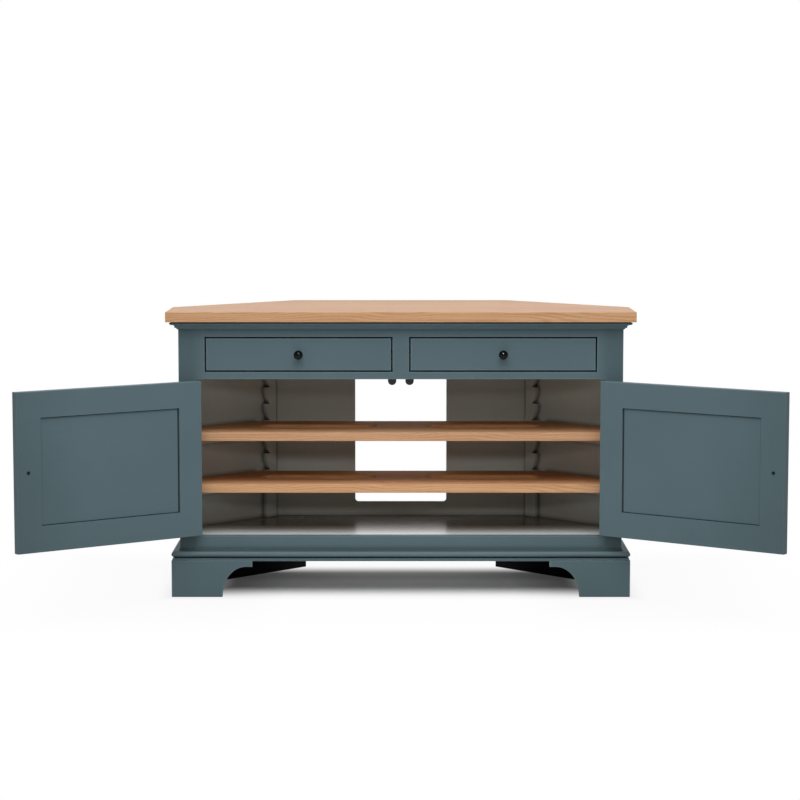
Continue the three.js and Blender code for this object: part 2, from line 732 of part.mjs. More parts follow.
// A cleat lies along the angled wall on one tooth of each batten, with its ends cut to the teeth.
function cleat(tooth) {
  const base = ledgeHeight(tooth) + glueLine;
  const wallLength = (backPanelFront - innerCornerDepth) * Math.SQRT2;
  const bar = standing(rectangle(0, wallLength + battenWidth, base, base + cleatHeight), cleatThickness,
    rearCorner, downTheWall);
  const space = battenSpace(tooth);
  const toolThickness = Math.max(battenThickness, cleatThickness) + 2 * cutOverrun;
  const rearTool = standing(space, toolThickness,
    rearCorner.map((value, i) => value - offTheWall[i] * cutOverrun), downTheWall);
  const frontTool = standing(space, toolThickness, [frontBattenX - cutOverrun, frontCorner[1]], straightBack);
  const returnTool = block(innerSide - glueLine, carcassWidth, 0, innerCornerDepth + battenWidth,
    base - cutOverrun, base + cleatHeight + cutOverrun);
  return cut(bar, rearTool, frontTool, returnTool);
}

// Shelves: oak boards cut to the plan of the cupboard, each with two long slots for air and cables
const shelfRear = backPanelFront - (battenWidth + battenThickness) * Math.SQRT1_2 - shelfBattenGap;

function shelfShape() {
  const shape = shapeOf(betweenWalls(shelfSetback, shelfRear, battenThickness + shelfSideGap, shelfWallGap));
  const radius = slotWidth / 2;
  for (const sign of [-1, 1]) {
    const inner = sign * (slotInnerDistance + radius);
    const outer = sign * (slotInnerDistance + slotLength - radius);
    const slot = new THREE.Path();
    slot.absarc(Math.max(inner, outer), slotCentreDepth, radius, -Math.PI / 2, Math.PI / 2);
    slot.absarc(Math.min(inner, outer), slotCentreDepth, radius, Math.PI / 2, Math.PI * 1.5);
    shape.holes.push(slot);
  }
  return shape;
}

for (const [level, tooth] of [['lower', lowerShelfTooth], ['upper', upperShelfTooth]]) {
  placePair(`${level}_cleat`, cleat(tooth), innerPaint);
  const shelfBase = ledgeHeight(tooth) + cleatHeight + 2 * glueLine;
  place(`${level}_shelf`, planBoard(shelfShape(), shelfBase, shelfBase + shelfThickness, shelfArris,
    2 * broadQuarterSteps), oak);
}

// Door catches: round-nosed magnets under the deck, just behind the meeting edges of the shut doors
const catchRadius = catchWidth / 2;
const catchTop = doorHead - glueLine;
const catchNose = doorHead - catchDrop + catchRadius;
const catchNear = doorThickness + catchDoorGap;
const catchOutline = [
  [catchCentre + catchRadius, catchTop],
  [catchCentre - catchRadius, catchTop],
  ...arc(catchCentre, catchNose, catchRadius, catchRadius, 2, 4),
];
placePair('door_catch', frontBoard(catchOutline, catchNear, catchNear + catchDepth), plastic);

// The origin is the middle of the footprint, doors included, on the floor.
const bounds = new THREE.Box3().setFromObject(cabinet, true);
cabinet.position.set(-(bounds.min.x + bounds.max.x) / 2, -(bounds.min.y + bounds.max.y) / 2, 0);

export default cabinet;
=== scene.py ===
import json
from math import cos, pi, radians, sin, sqrt

import bmesh
import bpy
import numpy as np
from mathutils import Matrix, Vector
from mathutils.bvhtree import BVHTree


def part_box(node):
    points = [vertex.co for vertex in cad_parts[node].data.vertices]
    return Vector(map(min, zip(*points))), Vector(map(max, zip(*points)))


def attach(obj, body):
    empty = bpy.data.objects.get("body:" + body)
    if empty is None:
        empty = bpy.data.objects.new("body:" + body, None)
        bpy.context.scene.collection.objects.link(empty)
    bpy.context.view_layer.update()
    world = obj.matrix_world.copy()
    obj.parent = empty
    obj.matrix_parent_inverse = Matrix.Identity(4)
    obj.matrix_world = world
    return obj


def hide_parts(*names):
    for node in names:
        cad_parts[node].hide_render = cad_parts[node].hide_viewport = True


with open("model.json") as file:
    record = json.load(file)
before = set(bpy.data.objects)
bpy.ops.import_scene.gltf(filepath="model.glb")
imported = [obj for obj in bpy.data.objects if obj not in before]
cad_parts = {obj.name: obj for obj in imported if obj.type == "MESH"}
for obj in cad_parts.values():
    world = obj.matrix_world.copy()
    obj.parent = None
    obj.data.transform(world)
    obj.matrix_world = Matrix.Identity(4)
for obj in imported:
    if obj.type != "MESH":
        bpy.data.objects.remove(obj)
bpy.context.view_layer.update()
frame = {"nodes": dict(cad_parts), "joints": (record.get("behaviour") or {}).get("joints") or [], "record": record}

# Side returns and angled walls. Boards of medium density fibreboard, sprayed blue-grey outside and
# warm grey inside. The returns run back to the room's walls, and the angled walls are glued and
# screwed against them.

body_of_node = {
    node: body for body, nodes in frame["record"]["behaviour"]["bodies"].items() for node in nodes
}
SIDES = {"left": -1, "right": 1}
SHARP = radians(28)
FLAT = radians(0.2)
SAME_POINT = 1e-6


def finished(node, material, arris, segments=3):
    """A board as it leaves the workshop: its solid with corners joined, flat faces made whole and
    sharp edges rounded."""
    shape = bmesh.new()
    shape.from_mesh(frame["nodes"][node].data)
    bmesh.ops.remove_doubles(shape, verts=shape.verts, dist=SAME_POINT)
    bmesh.ops.dissolve_limit(shape, angle_limit=FLAT, verts=shape.verts, edges=shape.edges)
    piece = as_piece(shape, node, material)
    eased(piece, arris, segments)
    evened(piece)
    settle(piece, node)
    return piece


def as_piece(shape, name, material):
    """Puts a drawn shape into the scene, shaded smooth and in one material."""
    for face in shape.faces:
        face.smooth = True
    mesh = bpy.data.meshes.new(name + "_finished")
    shape.to_mesh(mesh)
    shape.free()
    mesh.materials.append(material)
    return placed(name + "_finished", mesh)


def placed(name, data):
    """A new object in the scene, from its mesh, lamp or lens."""
    made = bpy.data.objects.new(name, data)
    bpy.context.scene.collection.objects.link(made)
    return made


def eased(piece, arris, segments):
    """Rounds every sharp edge of a piece to the radius of the arris."""
    edge = piece.modifiers.new("arris", "BEVEL")
    edge.width = arris
    edge.segments = segments
    edge.limit_method = "ANGLE"
    edge.angle_limit = SHARP


def evened(piece):
    """Keeps flat faces flat in shading: the larger a face, the more its normal counts."""
    weights = piece.modifiers.new("evened", "WEIGHTED_NORMAL")
    weights.weight = 100
    weights.keep_sharp = True


def settle(piece, node):
    """Puts a piece on the body of the solid it stands for and hides the solid."""
    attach(piece, body_of_node[node])
    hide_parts(node)


def wire(tree, kind, links=None, **settings):
    """Adds a shader node, makes its own settings, and links or sets each input that is named."""
    made = tree.nodes.new("ShaderNode" + kind)
    for key, value in settings.items():
        setattr(made, key, value)
    for key, value in (links or {}).items():
        if isinstance(value, bpy.types.NodeSocket):
            tree.links.new(value, made.inputs[key])
        else:
            made.inputs[key].default_value = value
    return made


def feed(tree, sockets, **values):
    """Links values to named sockets. An underscore in a keyword stands for a space."""
    for key, value in values.items():
        tree.links.new(value, sockets[key.replace("_", " ")])


def object_place(tree):
    """The point in the object's own coordinates, in metres."""
    return wire(tree, "TexCoord").outputs["Object"]


def parts_of(tree, vector):
    """The X, Y and Z of a vector."""
    return wire(tree, "SeparateXYZ", {0: vector}).outputs


def sums(tree, operation, *values):
    """The result of one step of arithmetic on numbers or sockets."""
    return wire(tree, "Math", dict(enumerate(values)), operation=operation).outputs[0]


def times(tree, first, second):
    """The product of two numbers or sockets."""
    return sums(tree, "MULTIPLY", first, second)


def less(tree, first, second):
    """The first number or socket less the second."""
    return sums(tree, "SUBTRACT", first, second)


def spread(tree, value, low, high, to_low=0.0, to_high=1.0, **curve):
    """A value taken from one range to another, and held at the ends."""
    ends = {"From Min": low, "From Max": high, "To Min": to_low, "To Max": to_high}
    return wire(tree, "MapRange", {"Value": value, **ends}, **curve).outputs[0]


def noise(tree, vector, scale, detail=2.0, roughness=0.5):
    """Even noise between about 0.3 and 0.7, its grains 1 / scale metres apart."""
    links = {"Vector": vector, "Scale": scale, "Detail": detail, "Roughness": roughness}
    return wire(tree, "TexNoise", links).outputs[0]


def varied(tree, grains, low, high):
    """Noise taken to the range of a tone or a roughness."""
    return spread(tree, grains, 0.3, 0.7, low, high)


def stretched(tree, vector, along):
    """A vector or a colour multiplied part by part."""
    return wire(tree, "VectorMath", {0: vector, 1: along}, operation="MULTIPLY").outputs[0]


def drawn_out(tree, vector, along, detail=2.0, roughness=0.5):
    """Noise with long grains. along is their density on each axis, per metre."""
    return noise(tree, stretched(tree, vector, along), 1.0, detail, roughness)


def shaded(tree, color, factor):
    """A colour made lighter or darker by a factor that varies over the surface."""
    return wire(tree, "VectorMath", {0: color, "Scale": factor}, operation="SCALE").outputs[0]


def blended(tree, factor, first, second):
    """The first colour where the factor is 0, the second where it is 1."""
    return wire(tree, "Mix", {0: factor, 6: first, 7: second}, data_type="RGBA").outputs[2]


def bumped(tree, height, strength, distance):
    """The normal of a surface with fine relief. distance is the depth of the relief in metres."""
    links = {"Height": height, "Strength": strength, "Distance": distance}
    return wire(tree, "Bump", links).outputs[0]


def start_group(name, inputs, outputs):
    """An effect for several finishes. inputs and outputs give each named socket its kind."""
    tree = bpy.data.node_groups.new(name, "ShaderNodeTree")
    for direction, sockets in (("INPUT", inputs), ("OUTPUT", outputs)):
        for socket, kind in sockets.items():
            kind = "NodeSocket" + kind
            tree.interface.new_socket(name=socket, in_out=direction, socket_type=kind)
    return tree, tree.nodes.new("NodeGroupInput").outputs, tree.nodes.new("NodeGroupOutput").inputs


def use_group(tree, group, **links):
    """Places a group in a finish and links or sets its inputs."""
    return wire(tree, "Group", links, node_tree=group).outputs


def emptied(owner):
    """The node tree of a material or a world, emptied."""
    owner.use_nodes = True
    owner.node_tree.nodes.clear()
    return owner.node_tree


def start_finish(name, constants):
    """A material with one shader, whose even values are set on the shader itself."""
    material = bpy.data.materials.new(name)
    tree = emptied(material)
    shader = wire(tree, "BsdfPrincipled", constants)
    wire(tree, "OutputMaterial", {0: shader.outputs[0]})
    return material, tree, shader.inputs


def srgb(red, green, blue):
    """A colour written in screen values, as the linear colour that the shaders use."""
    parts = np.array([red, green, blue]) / 255
    linear = np.where(parts <= 0.04045, parts / 12.92, ((parts + 0.055) / 1.055) ** 2.4)
    return (*linear.tolist(), 1.0)


def edge_wear_and_highlight_group():
    """Mask of rounded edges, where a finish is rubbed paler and, on paint, a painted highlight runs
    along the arris: one minus the cosine between the normal and the normal averaged round the
    edge, broken up by noise, so that 1 is a bare edge and 0 a flat face."""
    inputs = {"Vector": "Vector", "Radius": "Float"}
    tree, given, result = start_group("edge_wear_and_highlight", inputs, {"Mask": "Float"})
    averaged = wire(tree, "Bevel", {"Radius": given["Radius"]}, samples=4).outputs[0]
    both = {0: averaged, 1: wire(tree, "NewGeometry").outputs["Normal"]}
    cosine = wire(tree, "VectorMath", both, operation="DOT_PRODUCT").outputs["Value"]
    turn = spread(tree, less(tree, 1.0, cosine), 0.01, 0.06)
    patches = spread(tree, noise(tree, given["Vector"], 70.0, 3.0), 0.35, 0.62, 0.6, 1.0)
    feed(tree, result, Mask=times(tree, turn, patches))
    return tree


def painted_hollow_shade_group():
    """Painted shade in crevices, gaps and inside corners: 1 in the open and Darkest where the share
    of directions that are free of other faces within Reach is under a third."""
    inputs = {"Reach": "Float", "Darkest": "Float"}
    tree, given, result = start_group("painted_shade_in_crevices", inputs, {"Shade": "Float"})
    free = wire(tree, "AmbientOcclusion", {"Distance": given["Reach"]}, samples=4).outputs["AO"]
    feed(tree, result, Shade=spread(tree, free, 0.3, 0.95, given["Darkest"], 1.0))
    return tree


COAT = {"Color": "Color", "Roughness": "Float", "Height": "Float"}


def brushed_paint_group():
    """Satin paint laid off along the board: a broad drift of tone, brush lines drawn out along the
    grain, and the dimpled skin of a sprayed coat. Along is the lines' density on each axis."""
    inputs = {"Vector": "Vector", "Along": "Vector", "Color": "Color", "Sheen": "Float"}
    tree, given, result = start_group("brushed_paint", inputs, COAT)
    drift = varied(tree, noise(tree, given["Vector"], 5.0, 3.0), 0.965, 1.035)
    lines = drawn_out(tree, given["Vector"], given["Along"], 3.0, 0.6)
    dimples = noise(tree, given["Vector"], 750.0, 1.0)
    tone = times(tree, drift, varied(tree, lines, 0.985, 1.015))
    feed(
        tree, result, Color=shaded(tree, given["Color"], tone),
        Roughness=sums(tree, "ADD", given["Sheen"], varied(tree, lines, -0.05, 0.05)),
        Height=sums(tree, "MULTIPLY_ADD", lines, 0.6, times(tree, dimples, 0.4)),
    )
    return tree


EDGE_WEAR_AND_HIGHLIGHT = edge_wear_and_highlight_group()
PAINTED_HOLLOW_SHADE = painted_hollow_shade_group()
BRUSHED_PAINT = brushed_paint_group()
UPRIGHT, ACROSS = (240.0, 240.0, 9.0), (9.0, 240.0, 240.0)
BLUE = srgb(91, 111, 117)
# Paler edge colours for the arrises: a painted highlight as well as rubbed paint.
BLUE_WEAR_AND_HIGHLIGHT = srgb(118, 138, 144)
WARM_GREY = srgb(184, 186, 178)
WARM_GREY_WEAR_AND_HIGHLIGHT = srgb(200, 200, 192)
# Near black, a painted shade on the inner faces below the cupboard floor.
NEAR_BLACK_PAINTED_SHADE = srgb(5, 6, 6)
PAINT_ARRIS = 0.0009
SKIN_DEPTH = 0.00025
low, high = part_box("side_return_right")
BOARD, HALF_WIDTH = high.x - low.x, high.x
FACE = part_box("stile_right")[0].y


def aged(tree, place, color, edge, wear_and_highlight, shade_in_hollows):
    """A colour taken to the edge colour on the arrises, as rubbed finish and painted highlight,
    and darkened by painted shade in crevices and gaps. The first pair gives the share of the
    edge colour on an arris and how far it reaches, the second the reach and darkest value of
    the painted shade."""
    worn = use_group(tree, EDGE_WEAR_AND_HIGHLIGHT, Vector=place, Radius=wear_and_highlight[1])["Mask"]
    painted_shade = use_group(tree, PAINTED_HOLLOW_SHADE, Reach=shade_in_hollows[0], Darkest=shade_in_hollows[1])["Shade"]
    return shaded(tree, blended(tree, times(tree, worn, wear_and_highlight[0]), color, edge), painted_shade)


def painted(
    name, along, main, edge, vector=object_place, sheen=0.46, relief=0.35, gloss=0.2,
    wear_and_highlight=(0.45, 0.002), shade_in_hollows=(0.005, 0.3),
):
    """Finishes a board in paint. main and edge are colours, or functions that give a socket."""
    material, tree, shader = start_finish(name, {"Specular IOR Level": gloss})
    place = vector(tree)
    main = main(tree) if callable(main) else main
    edge = edge(tree) if callable(edge) else edge
    along = along(tree, place) if callable(along) else along
    coat = use_group(tree, BRUSHED_PAINT, Vector=place, Along=along, Color=main, Sheen=sheen)
    feed(
        tree, shader, Base_Color=aged(tree, place, coat["Color"], edge, wear_and_highlight, shade_in_hollows),
        Roughness=coat["Roughness"], Normal=bumped(tree, coat["Height"], relief, SKIN_DEPTH),
    )
    return material


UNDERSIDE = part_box("floor_panel")[0].z
SEAM = 0.0002
RETURN_SLIVER, WALL_SLIVER = 0.0012, 0.0017


def by_face(inner, outer, distance):
    """The outer colour where the distance is above zero. Elsewhere it is the inner one, and below the
    cupboard floor a near-black painted shade."""
    def choose(tree):
        side = spread(tree, distance(tree), -SEAM, SEAM)
        above = spread(tree, from_middle(tree)[2], UNDERSIDE - SEAM, UNDERSIDE + SEAM)
        return blended(tree, side, blended(tree, above, NEAR_BLACK_PAINTED_SHADE, inner), outer)
    return choose


def from_middle(tree):
    """Distance from the middle plane of the cabinet, depth and height, all in metres."""
    parts = parts_of(tree, object_place(tree))
    return sums(tree, "ABSOLUTE", parts["X"]), parts["Y"], parts["Z"]


def past_return(tree):
    """How far outside the returns' inner faces a point lies, less a sliver."""
    return less(tree, from_middle(tree)[0], HALF_WIDTH - BOARD + RETURN_SLIVER)


low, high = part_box("angled_wall_right")
WALL_LINE = low.x + high.y


def past_wall(tree):
    """How far outside the angled walls' inner faces a point lies, as x + y, less a sliver."""
    across, deep, _ = from_middle(tree)
    return less(tree, sums(tree, "ADD", across, deep), WALL_LINE + WALL_SLIVER)


def two_faced(name, distance):
    """Blue paint outside and warm grey inside, as the distance tells them apart."""
    return painted(
        name, UPRIGHT, by_face(WARM_GREY, BLUE, distance),
        by_face(WARM_GREY_WEAR_AND_HIGHLIGHT, BLUE_WEAR_AND_HIGHLIGHT, distance), gloss=0.06, shade_in_hollows=INNER_HOLLOW_SHADE,
    )


# Reach and darkest value of the painted shade in the corners inside the cupboard.
INNER_HOLLOW_SHADE = (0.012, 0.22)
RETURN_PAINT = two_faced("return_paint", past_return)
WALL_PAINT = two_faced("wall_paint", past_wall)
for side in SIDES:
    finished("side_return_" + side, RETURN_PAINT, PAINT_ARRIS)
    finished("angled_wall_" + side, WALL_PAINT, PAINT_ARRIS)

# Cupboard floor, drawer deck and back panel. Boards in the same warm grey as the walls' inner
# faces, housed between the walls. The floor has a glossier coat, which shows the light that comes
# through the cut-out.

# The cupboard floor's colour: painted light at its front edge, painted shade at the back, and the depth between.
FLOOR_FRONT_PAINTED_LIGHT, FLOOR_REAR_PAINTED_SHADE = srgb(232, 240, 242), srgb(116, 113, 102)
FLOOR_PAINTED_LIGHT_DEPTH = 0.15


def floor_painted_light_and_shade(tree):
    """Painted light along the front edge, fading to painted shade towards the back."""
    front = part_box("floor_panel")[0].y
    back = spread(tree, from_middle(tree)[1], front, front + FLOOR_PAINTED_LIGHT_DEPTH)
    return blended(tree, back, FLOOR_FRONT_PAINTED_LIGHT, FLOOR_REAR_PAINTED_SHADE)


FLOOR_PAINT = painted(
    "floor_paint", ACROSS, floor_painted_light_and_shade, WARM_GREY_WEAR_AND_HIGHLIGHT, sheen=0.24, relief=0.06, gloss=0.42,
    shade_in_hollows=(0.008, 0.4),
)
INNER_PAINT = painted("inner_paint", ACROSS, WARM_GREY, WARM_GREY_WEAR_AND_HIGHLIGHT, shade_in_hollows=INNER_HOLLOW_SHADE)
finished("floor_panel", FLOOR_PAINT, PAINT_ARRIS)
finished("drawer_deck", INNER_PAINT, PAINT_ARRIS)
finished("back_panel", INNER_PAINT, PAINT_ARRIS)

# Face frame and rear tie rail. Tulipwood stiles and rails, mortised and glued, then sprayed
# blue-grey. The frame is glued to the front edges of the carcass, and the rail ties the angled
# walls behind the back panel.

GLUE_LINE = 0.0003
MEETING, AT_END = 1.3 * GLUE_LINE, GLUE_LINE / 3
STILES = ("stile_left", "stile_right")
RAILS = ("bottom_rail", "middle_rail", "top_rail")
JOINT_REACH = 0.005
# Reach and darkest value of the painted shade on the rails, on the stiles and beside the drawer gaps.
RAIL_HOLLOW_SHADE, STILE_HOLLOW_SHADE, GAP_SHADE = (0.016, 0.15), (0.008, 0.3), (0.005, 0.06)
# How dark the painted shade on the stiles gets, and the width over which it deepens.
STILE_PAINTED_SHADE, STILE_PAINTED_SHADE_WIDTH = 0.82, 0.03
# The frame takes the full paler arris colour, a painted highlight along every edge beside a gap.
FRAME_COAT = {"gloss": 0.14, "wear_and_highlight": (1.0, 0.004)}


def frame_joints_group():
    """1 over the glued joints of the face frame, where paint bridges the glue line, else 0. Each
    joint is a rectangle of distances from the middle plane and of heights, a little enlarged."""
    tree, _, result = start_group("frame_joints", {}, {"Mask": "Float"})
    across, _, height = from_middle(tree)
    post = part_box("drawer_divider")
    joints = [(0.0, post[1].x, end.z - JOINT_REACH, end.z + JOINT_REACH) for end in post]
    for rail in RAILS:
        low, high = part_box(rail)
        joints.append((high.x - JOINT_REACH, high.x + JOINT_REACH, low.z, high.z))
    mask = 0.0
    for near, far, bottom, top in joints:
        beside = sums(tree, "COMPARE", across, (near + far) / 2, (far - near) / 2)
        level = sums(tree, "COMPARE", height, (bottom + top) / 2, (top - bottom) / 2)
        mask = sums(tree, "MAXIMUM", times(tree, beside, level), mask)
    feed(tree, result, Mask=mask)
    return tree


FRAME_JOINTS = frame_joints_group()


def frame_edge(tree):
    """The paler colour of the arrises, a painted highlight as well as rubbed paint, but plain blue over the
    joints.
    """
    return blended(tree, use_group(tree, FRAME_JOINTS)["Mask"], BLUE_WEAR_AND_HIGHLIGHT, BLUE)


def stile_painted_shade(tree):
    """Blue, with a painted shade deepening from the drawers outwards, for the open doors' shadow."""
    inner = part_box("top_rail")[1].x
    outer = inner + STILE_PAINTED_SHADE_WIDTH
    shade = spread(tree, from_middle(tree)[0], inner, outer, 1.0, STILE_PAINTED_SHADE)
    return shaded(tree, BLUE[:3], shade)


STILE_PAINT = painted(
    "stile_paint", UPRIGHT, stile_painted_shade, frame_edge, shade_in_hollows=STILE_HOLLOW_SHADE, **FRAME_COAT
)
RAIL_PAINT = painted("rail_paint", ACROSS, BLUE, frame_edge, shade_in_hollows=RAIL_HOLLOW_SHADE, **FRAME_COAT)
DIVIDER_PAINT = painted(
    "divider_paint", UPRIGHT, BLUE, frame_edge, shade_in_hollows=RAIL_HOLLOW_SHADE, **FRAME_COAT
)
BLUE_ACROSS = painted(
    "blue_paint_across", ACROSS, BLUE, BLUE_WEAR_AND_HIGHLIGHT, shade_in_hollows=GAP_SHADE, **FRAME_COAT
)


def framed(node, material, reach, *neighbours):
    """A member of the glued frame. Its ends along the axis called reach go on through the glue
    line, and its edges stay square where they meet a neighbour, so that paint bridges the joint."""
    piece = finished(node, material, PAINT_ARRIS)
    low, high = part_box(node)
    shape = bmesh.new()
    shape.from_mesh(piece.data)
    trees = []
    for neighbour in neighbours:
        solid = frame["nodes"][neighbour].data
        faces = [face.vertices for face in solid.polygons]
        trees.append(BVHTree.FromPolygons([vertex.co for vertex in solid.vertices], faces))
        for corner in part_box(neighbour):
            for normal in ((1, 0, 0), (0, 0, 1)):
                bmesh.ops.bisect_plane(
                    shape, geom=shape.verts[:] + shape.edges[:] + shape.faces[:],
                    plane_co=corner, plane_no=normal, dist=SAME_POINT,
                )
    free = []
    for edge in shape.edges:
        middle = (edge.verts[0].co + edge.verts[1].co) / 2
        met = any(tree.find_nearest(middle)[3] < MEETING for tree in trees)
        if edge.calc_face_angle(0.0) > SHARP and not met:
            free.append(edge)
    for end, growth in () if reach is None else ((low, -GLUE_LINE), (high, GLUE_LINE)):
        for vert in shape.verts:
            if abs(vert.co[reach] - end[reach]) < AT_END:
                vert.co[reach] += growth
    bmesh.ops.bevel(
        shape, geom=free, offset=PAINT_ARRIS, segments=3, profile=0.5, affect="EDGES",
        clamp_overlap=True,
    )
    for edge in shape.edges:
        edge.smooth = edge.calc_face_angle(0.0) < SHARP
    for face in shape.faces:
        face.smooth = True
    shape.to_mesh(piece.data)
    shape.free()
    piece.modifiers.remove(piece.modifiers["arris"])


for node in STILES:
    framed(node, STILE_PAINT, None, *RAILS)
framed("bottom_rail", RAIL_PAINT, 0, *STILES)
for node in RAILS[1:]:
    framed(node, RAIL_PAINT, 0, *STILES, "drawer_divider")
framed("drawer_divider", DIVIDER_PAINT, 2, *RAILS[1:])
finished("rear_rail", BLUE_ACROSS, PAINT_ARRIS)

# Plinth. A front board cut into bracket feet with a cove at each inner edge, and two plain returns
# that butt against it from behind, glued and sprayed with the carcass. A small step along the top
# edge carries the base moulding.

finished("plinth_front", BLUE_ACROSS, PAINT_ARRIS)
for side in SIDES:
    finished("plinth_return_" + side, BLUE_ACROSS, PAINT_ARRIS)

# Base moulding. Three lengths of tulipwood run with a neck, a half-round nose, a ledge and a small
# cove, mitred at the corners, pinned and glued on top of the plinth, and sprayed blue-grey.

MOULDING_STEPS = 14
NECK_PROJECTION, NECK_HEIGHT = 0.0115, 0.003
NOSE_HEIGHT = 0.0138
COVE_PROJECTION, FILLET_PROJECTION = 0.006, 0.001
# Paler than the frame's blue as painted light; the cove takes painted shade, the cornice more light.
MOULDING_PAINTED_LIGHT_BLUE = srgb(99, 119, 125)
COVE_PAINTED_SHADE, CORNICE_PAINTED_LIGHT = 0.58, 1.22
SHADE_STEP = 0.001
FINE_ARRIS = 0.0004
TOUCHING = 1e-7


def moulding_painted_light_and_shade(tree):
    """The blue of the mouldings, a painted shade deeper in the cove above the nose, and painted light
    that makes the cornice paler."""
    low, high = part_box("base_moulding")
    nose_top = low.z + NECK_HEIGHT + NOSE_HEIGHT
    height = from_middle(tree)[2]
    above = spread(tree, height, nose_top - SHADE_STEP, nose_top, 1.0, COVE_PAINTED_SHADE)
    over = spread(tree, height, high.z, high.z + SHADE_STEP, 0.0, CORNICE_PAINTED_LIGHT)
    return shaded(tree, MOULDING_PAINTED_LIGHT_BLUE[:3], sums(tree, "MAXIMUM", above, over))


# Its paler arris lines are a painted highlight as well as rubbed paint.
MOULDING_PAINT = painted(
    "moulding_paint", ACROSS, moulding_painted_light_and_shade, BLUE_WEAR_AND_HIGHLIGHT, relief=0.06, gloss=0.08,
    wear_and_highlight=(0.6, 0.0014), shade_in_hollows=(0.012, 0.3),
)


def quarter(centre, radii, start, end):
    """Points round an elliptical arc between two angles, which are counted in quarter turns."""
    angle = np.linspace(start, end, MOULDING_STEPS + 1) * pi / 2
    across, up = centre[0] + radii[0] * np.cos(angle), centre[1] + radii[1] * np.sin(angle)
    return np.stack([across, up], 1)


def wrapped(name, section, material):
    """A closed section of points (projection p, height z), carried along both returns and across
    the front. Station k stands at origin k + p * direction k, so that each corner is a mitre and
    each end a 45 degree cut."""
    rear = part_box(name)[1].y + GLUE_LINE
    origins = np.array([[-1, rear], [-1, FACE], [1, FACE], [1, rear]]) * [HALF_WIDTH, 1]
    directions = np.array([[-1, -1], [-1, -1], [1, -1], [1, -1]])
    plan = origins[:, None] + directions[:, None] * section[None, :, :1]
    heights = np.broadcast_to(section[None, :, 1:], (*plan.shape[:2], 1))
    points = np.concatenate([plan, heights], 2).reshape(-1, 3)
    count = len(section)
    near = np.arange(count)
    beside = np.roll(near, -1)
    strip = np.stack([near, near + count, beside + count, beside], 1)
    quads = np.concatenate([strip + run * count for run in range(3)]).tolist()
    caps = [near[::-1].tolist(), (near + 3 * count).tolist()]
    return piece_from(name, points, quads + caps, material)


def piece_from(name, points, faces, material, arris=FINE_ARRIS):
    """A new piece from points and faces, its faces turned outwards and its sharp edges rounded. If
    it has the name of a solid, it takes that solid's place."""
    drawn = bpy.data.meshes.new(name + "_drawn")
    drawn.from_pydata(points.tolist(), [], faces)
    shape = bmesh.new()
    shape.from_mesh(drawn)
    bpy.data.meshes.remove(drawn)
    bmesh.ops.remove_doubles(shape, verts=shape.verts, dist=TOUCHING)
    bmesh.ops.recalc_face_normals(shape, faces=shape.faces)
    piece = as_piece(shape, name, material)
    if arris:
        eased(piece, arris, 2)
    evened(piece)
    if name in frame["nodes"]:
        settle(piece, name)
    return piece


low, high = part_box("base_moulding")
nose_radius = NOSE_HEIGHT / 2
nose_base = low.z + NECK_HEIGHT
nose_centre = (high.x - HALF_WIDTH - nose_radius, nose_base + nose_radius)
cove_radii = (COVE_PROJECTION - FILLET_PROJECTION, high.z - nose_base - NOSE_HEIGHT)
base_section = np.concatenate([
    [[GLUE_LINE, low.z], [NECK_PROJECTION, low.z], [NECK_PROJECTION, nose_base]],
    quarter(nose_centre, (nose_radius, nose_radius), -1, 1),
    quarter((COVE_PROJECTION, high.z), cove_radii, -1, -2),
    [[GLUE_LINE, high.z]],
])
wrapped("base_moulding", base_section, MOULDING_PAINT)

# Cornice. The same wood and paint, run with a small quarter bead, a fillet, a cove that turns into
# an ovolo, and a narrow fascia, mitred round the top of the carcass just under the oak.

BEAD_PROJECTION, BEAD_HEIGHT = 0.0041, 0.0042
CORNICE_FILLET, CORNICE_FILLET_HEIGHT = 0.0083, 0.002
OVOLO_WIDTH, OVOLO_HEIGHT = 0.007, 0.005
FASCIA_HEIGHT = 0.0026
SHADOW_LINE_DEPTH = 0.005

low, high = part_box("cornice")
cornice_projection = high.x - HALF_WIDTH
bead_top = low.z + BEAD_HEIGHT
fillet_top = bead_top + CORNICE_FILLET_HEIGHT
fascia_base = high.z - FASCIA_HEIGHT
fascia_face = cornice_projection - SHADOW_LINE_DEPTH
ovolo_start = cornice_projection - OVOLO_WIDTH
cove_height = fascia_base - OVOLO_HEIGHT - fillet_top
cornice_section = np.concatenate([
    [[GLUE_LINE, low.z]],
    quarter((GLUE_LINE, bead_top), (BEAD_PROJECTION - GLUE_LINE, BEAD_HEIGHT), -1, 0)[1:],
    [[CORNICE_FILLET, bead_top]],
    quarter((ovolo_start, fillet_top), (ovolo_start - CORNICE_FILLET, cove_height), 2, 1),
    quarter((ovolo_start, fascia_base), (OVOLO_WIDTH, OVOLO_HEIGHT), -1, 0)[1:],
    [[fascia_face, fascia_base], [fascia_face, high.z], [GLUE_LINE, high.z]],
])
wrapped("cornice", cornice_section, MOULDING_PAINT)

# Oak top. Staves of European oak glued edge to edge with the grain across the front, planed to one
# board, cut back at 45 degrees for the walls and lacquered. It is screwed down from inside the
# carcass.

OAK_ARRIS = 0.0012
ARCH_GRAIN, WOBBLE_GRAIN = (1.7, 9.0, 9.0), (6.0, 60.0, 60.0)
STREAK_GRAIN = (4.0, 330.0, 330.0)
PORE_GRAIN, RAY_GRAIN = (75.0, 1500.0, 1500.0), (28.0, 240.0, 700.0)
RING_DENSITY = 1450.0


